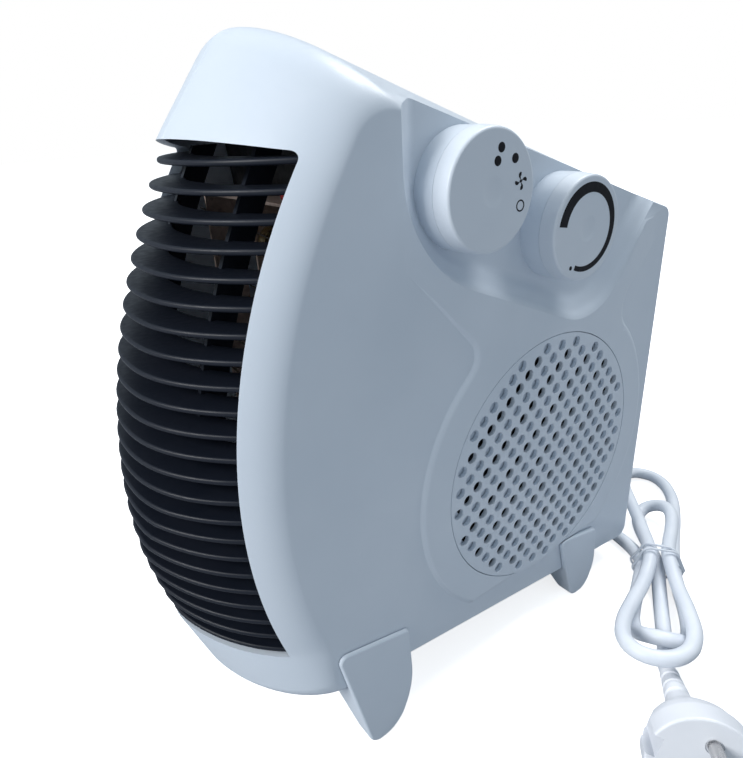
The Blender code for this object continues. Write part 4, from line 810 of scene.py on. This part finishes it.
SCOOP_WALL = ((58.5, 8.5), (54.75, 4.1), (54.45, 3.2), (54.1, 2.4), (53.6, 1.6), (53.0, 0.9), (52.3, 0.2),
              (51.6, -0.7), (50.9, -1.8), (50.3, -2.8), (49.7, -3.6), (49.2, -4.3), (48.7, -5.1), (48.35, -5.9),
              (48.1, -6.9), (RECESS_FLOOR, -8.0))


def recess_outline():
    """The scoop's lip: along below both knobs and up again at each end."""
    aim, rise = radians(-23.2), radians(49.5)
    row, wall, lip = (cos(aim), sin(aim)), (cos(rise), sin(rise)), (INTAKE_Y, 162.2)
    left = meet(lip, row, (-31.5, 0), (0, 1))
    right_end = meet(lip, row, (102.0, KNOB_SITES[1][1]), wall)
    far = (BACK_Y + 10.0, right_end[1] + (BACK_Y + 10.0 - right_end[0]) * wall[1] / wall[0])
    left_top = (-31.5, top_z(-31.5) + 30.0)
    return [left_top, *fillet(left_top, left, right_end, 40.0, 20),
            *fillet(left, right_end, far, 25.0, 16), far]


def scoop(levels):
    return loft([[(x, y, z) for y, z in grown(recess_outline(), spread)] for x, spread in levels])


def panel_outline():
    """A circle round the intake, a waist, and a flare up to the scoop."""
    def arc(way, last):
        return [(INTAKE_Y + way * PANEL_CIRCLE * cos(radians(a)), INTAKE_Z + PANEL_CIRCLE * sin(radians(a)))
                for a in range(-52, last, 3)]

    right_arc, left_arc = arc(1, 39), arc(-1, 48)[::-1]
    waist_right, waist_left = (85.5, 151.5), (0.5, 153.4)
    flare_right, flare_left = (116.0, 184.0), (-46.5, 204.2)
    top = [flare_right, (113.5, 190.0), (INTAKE_Y + 20.0, 184.0), (INTAKE_Y - 30.0, 199.0), (-36.5, 216.0),
           flare_left]
    return (right_arc + fillet(right_arc[-1], waist_right, flare_right, 12.0, 10) + top
            + fillet(flare_left, waist_left, left_arc[0], 8.0, 10) + left_arc)


def panel(outline, side, grow=0.0):
    return loft([[(side * (HALF_WIDTH + rise + grow), y, z) for y, z in grown(outline, spread + grow)]
                 for rise, spread in PANEL_EDGE])


def outlet_opening():
    """A tunnel through the nose, with a bowed upper edge and rounded upper corners."""
    edge = [(OUTLET_HALF * (1 - i / 10), OUTLET_HIGH + 3.0 - 4.6 * (1 - i / 10) ** 2) for i in range(21)]
    low = OUTLET_LOW - 2.0
    corner = fillet((OUTLET_HALF, low), edge[0], edge[1], 3.0, 8)
    upper = corner + edge[2:-2] + [(-x, z) for x, z in reversed(corner)]
    outline = [(-OUTLET_HALF, low), (OUTLET_HALF, low)] + upper
    return block([(x, FRONT_Y - 10.0, z) for x, z in outline], (0, 76.0, 0))


def guard_slots():
    """Slots behind every second row of the disc's holes."""
    rim, half, slots = INTAKE_RADIUS - 2.5, 4.2, []
    for row in range(1, 16, 2):
        middle = (row - 7.5) * HOLE_PITCH + 0.9
        low, high = max(middle - half, 2.0 - rim), min(middle + half, rim - 2.0)
        reach = sqrt(rim ** 2 - max(abs(low), abs(high)) ** 2)
        outline = [swung((INTAKE_Y, INTAKE_Z), HOLE_TURN, a, -b)
                   for a, b in ((-reach, low), (reach, low), (reach, high), (-reach, high))]
        slots.append(block_x(outline, HALF_WIDTH - 8.0, HALF_WIDTH + 4.0))
    return merged(slots)


def bosses(side):
    made = []
    for y, z, lean_deg, lean in SCREW_SITES:
        outline = [(lean, -BOSS_RADIUS), (lean, BOSS_RADIUS)]
        outline += [swung((0, 0), radians(a), BOSS_RADIUS) for a in range(90, 271, 12)]
        placed = [swung((y, z), radians(lean_deg), *point) for point in outline]
        made.append(block_x(placed, *sorted((side * 0.45, side * BOSS_LENGTH))))
    return merged(made)


def screw_holes(radius, low, high):
    return rods_x([site[:2] for site in SCREW_SITES], low, high, radius, 20)


def gland_hole():
    return rod((0, BACK_Y - 12.0, GLAND_Z), (0, BACK_Y + 5.0, GLAND_Z), NECK_RADIUS + GAP, 40)


print("panel in", len(panel_outline()), "points")

# %% [markdown]
# Two ramps fade the panel's upper ends into the side before it is joined on. The scoop, the
# hollow inside and the openings follow, then the knobs' seats and the screw bosses.

# %% The control side's shell
right_shell = as_object("right_shell", loft(body_rings(1)))
raised = as_object("raised_panel", panel(panel_outline(), 1))
for near, far in ((-8.0, -34.5), (90.0, 111.0)):
    beyond = far + (far - near)
    ramp = [(near, PANEL_FACE_X), (beyond, PANEL_FACE_X - 2 * PANEL_RISE), (beyond, PANEL_FACE_X + 6.0),
            (near, PANEL_FACE_X + 6.0)]
    carve(raised, block([(x, y, 140.0) for y, x in ramp], (0, 0, 90.0)))
carve(right_shell, raised, "UNION")
carve(right_shell, scoop(SCOOP_WALL))
inside = as_object("inside", loft(body_rings(1, WALL, -4.0)))
carve(inside, scoop([(x - (WALL if x < 51 else 0.0), spread + WALL) for x, spread in SCOOP_WALL]))
carve(right_shell, inside)
carve(right_shell, outlet_opening())
carve(right_shell, rods_x([(INTAKE_Y, INTAKE_Z)], PANEL_FACE_X - INTAKE_THICK - GAP, HALF_WIDTH + 8.0,
                          INTAKE_RADIUS + GAP, 128))
carve(right_shell, guard_slots())
seat_x = KNOB_FACE_X - KNOB_HEIGHT - 2 * GAP
carve(right_shell, rods_x(KNOB_SITES, RECESS_FLOOR - 1.0, seat_x, KNOB_RADIUS, 96), "UNION")
carve(right_shell, rods_x(KNOB_SITES, RECESS_FLOOR - WALL - 2.0, KNOB_FACE_X, SPINDLE_BORE, 32))
carve(right_shell, bosses(1), "UNION")
carve(right_shell, screw_holes(SCREW_HOLE, -2.0, 20.0))
carve(right_shell, gland_hole())
finish(right_shell, "heater", ("right_housing",))

# %% [markdown]
# The other shell has the motor behind it: a low round panel with six cooling slots, and four
# deep holes through which the screws go in.

# %% The other side's shell
MOTOR_LEFT_X = -18.5 - GAP - 2.0          # the left face of the motor's rear bracket
MOTOR_PANEL_RADIUS, VENT_REACH, VENT_PITCH, VENT_HALF = 42.0, 30.0, 8.0, 2.0
left_shell = as_object("left_shell", loft(body_rings(-1)))
carve(left_shell, panel(circle(INTAKE_Y, INTAKE_Z, MOTOR_PANEL_RADIUS, 120), -1), "UNION")
carve(left_shell, loft(body_rings(-1, WALL, -4.0)))
carve(left_shell, outlet_opening())
vents = []
for step in (-3, -2, -1, 1, 2, 3):
    z = INTAKE_Z + step * VENT_PITCH
    half_run = sqrt(VENT_REACH ** 2 - (abs(z - INTAKE_Z) + VENT_HALF) ** 2)
    slot = rounded([(INTAKE_Y + a * half_run, z + b * VENT_HALF, VENT_HALF - 0.1, 6)
                    for a, b in ((-1, -1), (1, -1), (1, 1), (-1, 1))])
    vents.append(block_x(slot, -HALF_WIDTH - 5.0, -HALF_WIDTH + 8.0))
carve(left_shell, merged(vents))
posts = [(INTAKE_Y - 20.0, INTAKE_Z), (INTAKE_Y + 20.0, INTAKE_Z)]
carve(left_shell, rods_x(posts, WALL * 0.5 - HALF_WIDTH, MOTOR_LEFT_X - GAP, 4.0, 32), "UNION")
carve(left_shell, bosses(-1), "UNION")
carve(left_shell, screw_holes(SCREW_HOLE, -26.0, 2.0))
carve(left_shell, screw_holes(HEAD_HOLE, -HALF_WIDTH - 5.0, HEAD_SEAT_X))
carve(left_shell, gland_hole())
finish(left_shell, "heater", ("left_housing",))

# %% [markdown]
# ## The air outlet
# Twenty-three thin slats are moulded in one piece with two ribs behind them. Each slat is one
# rounded section swept across the opening. The slats bow forwards, and their row follows the
# curve of the nose. Round front edges give each slat its thin line of light.

# %% Slats
SLATS, SLAT_LOW, SLAT_RUN = 23, 64.2, 158.4
SLAT_HALF, SLAT_DEPTH, SLAT_BOW = 0.95, 13.0, 20.0
RIB_SITES, RIB_HALF, RIB_DEPTH = (-25.0, 25.0), 1.1, 9.0
slat_steps = 32


def slat_y(x, z):
    """How far forward a slat stands: bowed, and never in front of the nose."""
    arc = FRONT_Y + 2.1 + (z - 100.0) ** 2 / (2 * 221.0)
    nose = FRONT_Y + FRONT_RADIUS - sqrt(FRONT_RADIUS ** 2 - (z - FRONT_CENTRE_Z) ** 2)
    nose += NOSE_DEPTH * (1 - (1 - min(abs(x) / HALF_WIDTH, 1.0) ** NOSE_POWER) ** (1 / NOSE_POWER))
    return max(arc + SLAT_BOW * (abs(x) / OUTLET_HALF) ** 2.3, nose + 0.5)


def slat(z):
    section = [(SLAT_HALF * (1 - sin(pi * i / 8)), SLAT_HALF * cos(pi * i / 8)) for i in range(9)]
    section += [(SLAT_DEPTH - 0.3, -SLAT_HALF), (SLAT_DEPTH, -0.65), (SLAT_DEPTH, 0.65),
                (SLAT_DEPTH - 0.3, SLAT_HALF)]
    rings = []
    for i in range(slat_steps + 1):
        x = (OUTLET_HALF - GAP) * sin(pi * (i / slat_steps - 0.5))
        rings.append([(x, slat_y(x, z) + back, z + up) for back, up in section])
    return loft(rings)


def rib(x):
    heights = [OUTLET_LOW + GAP + (OUTLET_HIGH - OUTLET_LOW - 2 * GAP) * i / 14 for i in range(15)]
    front = [(slat_y(x, z) + 11.0, z) for z in heights]
    back = [(y + RIB_DEPTH, z) for y, z in reversed(front)]
    return block_x(front + back, x - RIB_HALF, x + RIB_HALF)


def slat_height(i):
    """Even steps, drawn apart a little towards the top and the bottom."""
    z = SLAT_LOW + SLAT_RUN * i / (SLATS - 1)
    return z + 2.6 * (max(z - 140.0, 0.0) / 82.6) ** 2 - 1.6 * (max(100.0 - z, 0.0) / 35.8) ** 2


slats = as_object("slats", merged([slat(slat_height(i)) for i in range(SLATS)] + [rib(x) for x in RIB_SITES]))
finish(slats, "heater", ("outlet_grille",), slat_black, sharp_deg=40)

# %% [markdown]
# ## The air intake
# A flat disc with 208 holes on a square lattice that is turned by 39.4 degrees. It is drawn as
# one flat curve with the holes in it, and the curve's own bevel softens every hole.

# %% Intake disc
HOLE_ROWS = (6, 10, 12, 14, 14, 16, 16, 16, 16, 16, 16, 14, 14, 12, 10, 6)
HOLE_RADIUS, SOFTEN = 2.35, 0.22


def flat_curve(name, outlines, low, high, soften, place):
    """A plate from one outline and its holes, across X from low to high."""
    data = bpy.data.curves.new(name, "CURVE")
    data.dimensions = "2D"
    data.fill_mode = "BOTH"
    data.extrude = (high - low) / 2 * MM - soften * MM
    data.bevel_depth = soften * MM
    data.bevel_resolution = 1
    for outline in outlines:
        spline = data.splines.new("POLY")
        spline.points.add(len(outline) - 1)
        for point, (y, z) in zip(spline.points, outline):
            point.co = (y * MM, z * MM, 0, 1)
        spline.use_cyclic_u = True
    guide = link(name + "_guide", data)
    mesh = evaluated(guide)
    bpy.data.objects.remove(guide)
    bpy.data.curves.remove(data)
    mesh.materials.clear()
    upright_turn = Matrix(((0, 0, 1, (high + low) / 2 * MM), (1, 0, 0, 0), (0, 1, 0, 0), (0, 0, 0, 1)))
    mesh.transform(Matrix.Translation(SHIFT * MM) @ Matrix.Translation(Vector(place) * MM) @ upright_turn)
    bm = bmesh.new()
    bm.from_mesh(mesh)
    bmesh.ops.remove_doubles(bm, verts=bm.verts, dist=0.000002)
    bmesh.ops.recalc_face_normals(bm, faces=bm.faces)
    bm.to_mesh(mesh)
    bm.free()
    return link(name, mesh)


disc_outlines = [circle(0, 0, INTAKE_RADIUS - SOFTEN, 128)]
for row, count in enumerate(HOLE_ROWS):
    for i in range(count):
        y, z = swung((0, 0), HOLE_TURN, (i - (count - 1) / 2) * HOLE_PITCH, (7.5 - row) * HOLE_PITCH)
        disc_outlines.append(circle(y, z, HOLE_RADIUS + SOFTEN, 20))
disc = flat_curve("intake_disc", disc_outlines, PANEL_FACE_X - INTAKE_THICK, PANEL_FACE_X, SOFTEN,
                  (0, INTAKE_Y, INTAKE_Z))
finish(disc, "heater", ("intake_grille",))

# %% [markdown]
# ## The knobs
# Two round caps with a slightly tapered skirt, a soft edge and a shallow dimple at the centre.
# Their marks are printed: dots for heat, a small fan and an open ring on one, and on the other
# a bow that grows from cool to warm. The ink is a hair thicker than the cap's surface.

# %% Knobs
KNOB_SKIN, KNOB_TAPER, SOCKET_DEPTH = 0.06, 0.6, 3.6
SKIRT_DROP = -0.5            # the skirt comes down to a hair above its seat
DOT_RADIUS, RING_OUTER, RING_INNER, SMALL_DOT_RADIUS = 1.5, 1.9, 1.45, 0.8
BOW_RADIUS, BOW_STEPS = 14.6, 72


def knob(name, site, body, node_name):
    height, top = KNOB_HEIGHT - KNOB_SKIN, KNOB_RADIUS - KNOB_TAPER
    profile = [(0, SOCKET_DEPTH), (SPINDLE_BORE, SOCKET_DEPTH), (SPINDLE_BORE, SKIRT_DROP),
               (KNOB_RADIUS, SKIRT_DROP)]
    profile += fillet((KNOB_RADIUS, SKIRT_DROP), (top, height), (0, height), 1.1, 8)
    profile += [(radius, height - sunk)
                for radius, sunk in ((5.2, 0.0), (4.4, 0.05), (3.6, 0.2), (2.4, 0.32), (0, 0.36))]
    cap = as_object(name, turned(profile, (KNOB_FACE_X - KNOB_HEIGHT, *site), (1, 0, 0), 96))
    return finish(cap, body, (node_name,), knob_white)


def printed(name, site, outlines_and_holes, body):
    """All marks of one knob in one piece, let in below the cap's surface."""
    whole = bmesh.new()
    for number, outlines in enumerate(outlines_and_holes):
        mark = flat_curve(f"{name}_{number}", outlines, KNOB_FACE_X - 0.3, KNOB_FACE_X - 0.015, 0.01,
                          (0, *site))
        whole.from_mesh(mark.data)
        discard(mark)
    return finish(link(name, mesh_of(name, whole)), body, (), print_black)


def fan_glyph(y, z):
    lobes = [[circle(y, z, 0.55, 16)]]
    for turn in range(4):
        aim = radians(90.0 * turn + 20.0)
        lobe = [(0.7, -0.2), (1.3, -0.2), (1.7, -0.75), (2.4, -1.1), (2.75, -0.6), (2.5, 0.2), (1.7, 0.5),
                (0.7, 0.15)]
        lobes.append([[swung((y, z), aim, *point) for point in lobe]])
    return lobes


def heat_bow():
    """A bow whose width tapers from 4.3 to 1.8 mm on its way round."""
    outer, inner = [], []
    for i in range(BOW_STEPS + 1):
        share = i / BOW_STEPS
        angle, half = radians(170.0 - 285.0 * share), 2.15 - 1.25 * share
        for points, radius in ((outer, BOW_RADIUS + half), (inner, BOW_RADIUS - half)):
            points.append(swung((0, 0), angle, radius))
    return outer + inner[::-1]


knob("function_cap", KNOB_SITES[0], "function_control", "function_knob")
knob("thermostat_cap", KNOB_SITES[1], "thermostat_control", "thermostat_knob")
dots = [[circle(y, z, DOT_RADIUS, 32)] for y, z in ((3.1, 12.7), (1.6, 8.9), (9.4, 9.1))]
open_ring = [circle(12.6, -5.6, radius, 40) for radius in (RING_OUTER, RING_INNER)]
printed("function_marks", KNOB_SITES[0], [*dots, open_ring, *fan_glyph(12.4, 2.0)], "function_control")
small_dot = circle(*swung((0, 0), radians(-123.0), 15.5), SMALL_DOT_RADIUS, 24)
printed("thermostat_marks", KNOB_SITES[1], [[heat_bow()], [small_dot]], "thermostat_control")

# %% [markdown]
# ## The feet
# Four tongues lap over the lower side faces, fit the shell's curve, and lean in below.

# %% Feet
FOOT_INNER_X, FOOT_TIP_X, FOOT_PROUD, FOOT_LEAN_Z = 31.0, 51.5, 4.0, 24.0
FOOT_TAPER = 2.6 / 53.0
FRONT_FOOT = ((-71.5, 53.5, 3.0, 8), (-60.5, 0.0, 5.0, 12), (-46.5, 0.0, 14.0, 14), (-37.2, 18.0, 38.0, 14),
              (-37.8, 46.5, 2.5, 8))
REAR_FOOT = ((58.0, 39.5, 3.0, 8), (68.0, 0.0, 5.0, 12), (80.0, 0.0, 10.0, 12), (87.0, 13.0, 20.0, 10),
             (86.5, 33.5, 2.5, 8))
FOOT_EDGE = ((1.2, 0.0), (0.74, -0.09), (0.36, -0.36), (0.09, -0.74), (0.0, -1.2))


def foot(name, side, corners, node_name):
    """A tongue, cut to the shell and to the floor, whose outer face leans in as it rises."""
    outline = rounded(list(reversed(corners)))
    rings = [[(side * FOOT_INNER_X, y, z) for y, z in outline]]
    for back, spread in FOOT_EDGE:
        rings.append([(side * (HALF_WIDTH + FOOT_PROUD - back - FOOT_TAPER * z), y, z)
                      for y, z in grown(outline, spread)])
    tongue = as_object(name, loft(rings))
    carve(tongue, loft(body_rings(side, -GAP, -4.0)))
    if side > 0:
        carve(tongue, panel(panel_outline(), side, GAP))
    first, last = min(y for y, _ in outline) - 5.0, max(y for y, _ in outline) + 5.0
    below = [(FOOT_INNER_X - 10.0, -20.0), (FOOT_TIP_X + 9.0, -20.0), (FOOT_TIP_X, -0.5),
             (FOOT_INNER_X, FOOT_LEAN_Z), (FOOT_INNER_X - 10.0, FOOT_LEAN_Z)]
    carve(tongue, block([(side * x, first, z) for x, z in below], (0, last - first, 0)))
    return finish(tongue, "heater", (node_name,))


for side, word in ((1, "right"), (-1, "left")):
    foot(f"front_tongue_{word}", side, FRONT_FOOT, f"front_foot_{word}")
    foot(f"rear_tongue_{word}", side, REAR_FOOT, f"rear_foot_{word}")

# %% [markdown]
# ## Light
# A large soft lamp stands far in front of the outlet and another high behind, so the nose and
# the top are bright, while the control side gets only the cool light of the world. Light Path
# keeps the floor and the background white to the camera and dimmer for the light they send on.

# %% Floor, world and lamps
FLOOR_GLOW, AMBIENT = 0.75, 0.42
BLACK, WHITE = (0, 0, 0, 1), (1, 1, 1, 1)
floor_bm = bmesh.new()
bmesh.ops.create_grid(floor_bm, x_segments=1, y_segments=1, size=6.0)
floor = link("floor", mesh_of("floor", floor_bm))
floor_white, floor_tree, floor_shader = bare_material("studio floor", 0.0, 0.1)
floor_seen = node(floor_tree, "LightPath").outputs["Is Camera Ray"]
floor_place = own_place(floor_tree)
floor_clouds = noise(floor_tree, floor_place, 3.0, 3.0)
paper = tint(floor_tree, floor_clouds, (0.93, 0.93, 0.93, 1), (0.9, 0.9, 0.905, 1))
wire_up(floor_tree, floor_shader, tint(floor_tree, floor_seen, (0.34, 0.36, 0.39, 1), paper),
        span(floor_tree, floor_clouds, 0.3, 0.7, 0.7, 0.8),
        noise(floor_tree, floor_place, 300.0), 0.02)
floor_tree.links.new(tint(floor_tree, floor_seen, BLACK, WHITE), floor_shader.inputs["Emission Color"])
floor_shader.inputs["Emission Strength"].default_value = FLOOR_GLOW
floor.data.materials.append(floor_white)

world = bpy.data.worlds.new("studio")
bpy.context.scene.world = world
world.use_nodes = True
sky = world.node_tree
sky.nodes.clear()
ambient = node(sky, "Background", [("Color", (0.78, 0.90, 1.0, 1)), ("Strength", AMBIENT)])
backdrop = node(sky, "Background", [("Color", WHITE), ("Strength", 1.0)])
seen = node(sky, "LightPath")
chosen = node(sky, "MixShader",
              [(0, seen.outputs["Is Camera Ray"]), (1, ambient.outputs[0]), (2, backdrop.outputs[0])])
node(sky, "OutputWorld", [(0, chosen.outputs[0])])


def lamp(name, place, size, power):
    data = bpy.data.lights.new(name, "AREA")
    data.shape = "DISK"
    data.size = size
    data.energy = power
    turn = (Vector((0.0, 0.0, 0.1)) - Vector(place)).to_track_quat("-Z", "Y").to_matrix().to_4x4()
    link(name, data).matrix_world = Matrix.Translation(place) @ turn
    print("lamp", name, power, "W at", place)


lamp("key", (-0.28, -2.4, 1.5), 1.2, 64.0)
lamp("top", (-0.1, 1.3, 2.2), 1.4, 42.0)

# %% [markdown]
# The view transform is the plain one, so a white surface stays white.

# %% View transform
bpy.context.scene.view_settings.view_transform = "Standard"
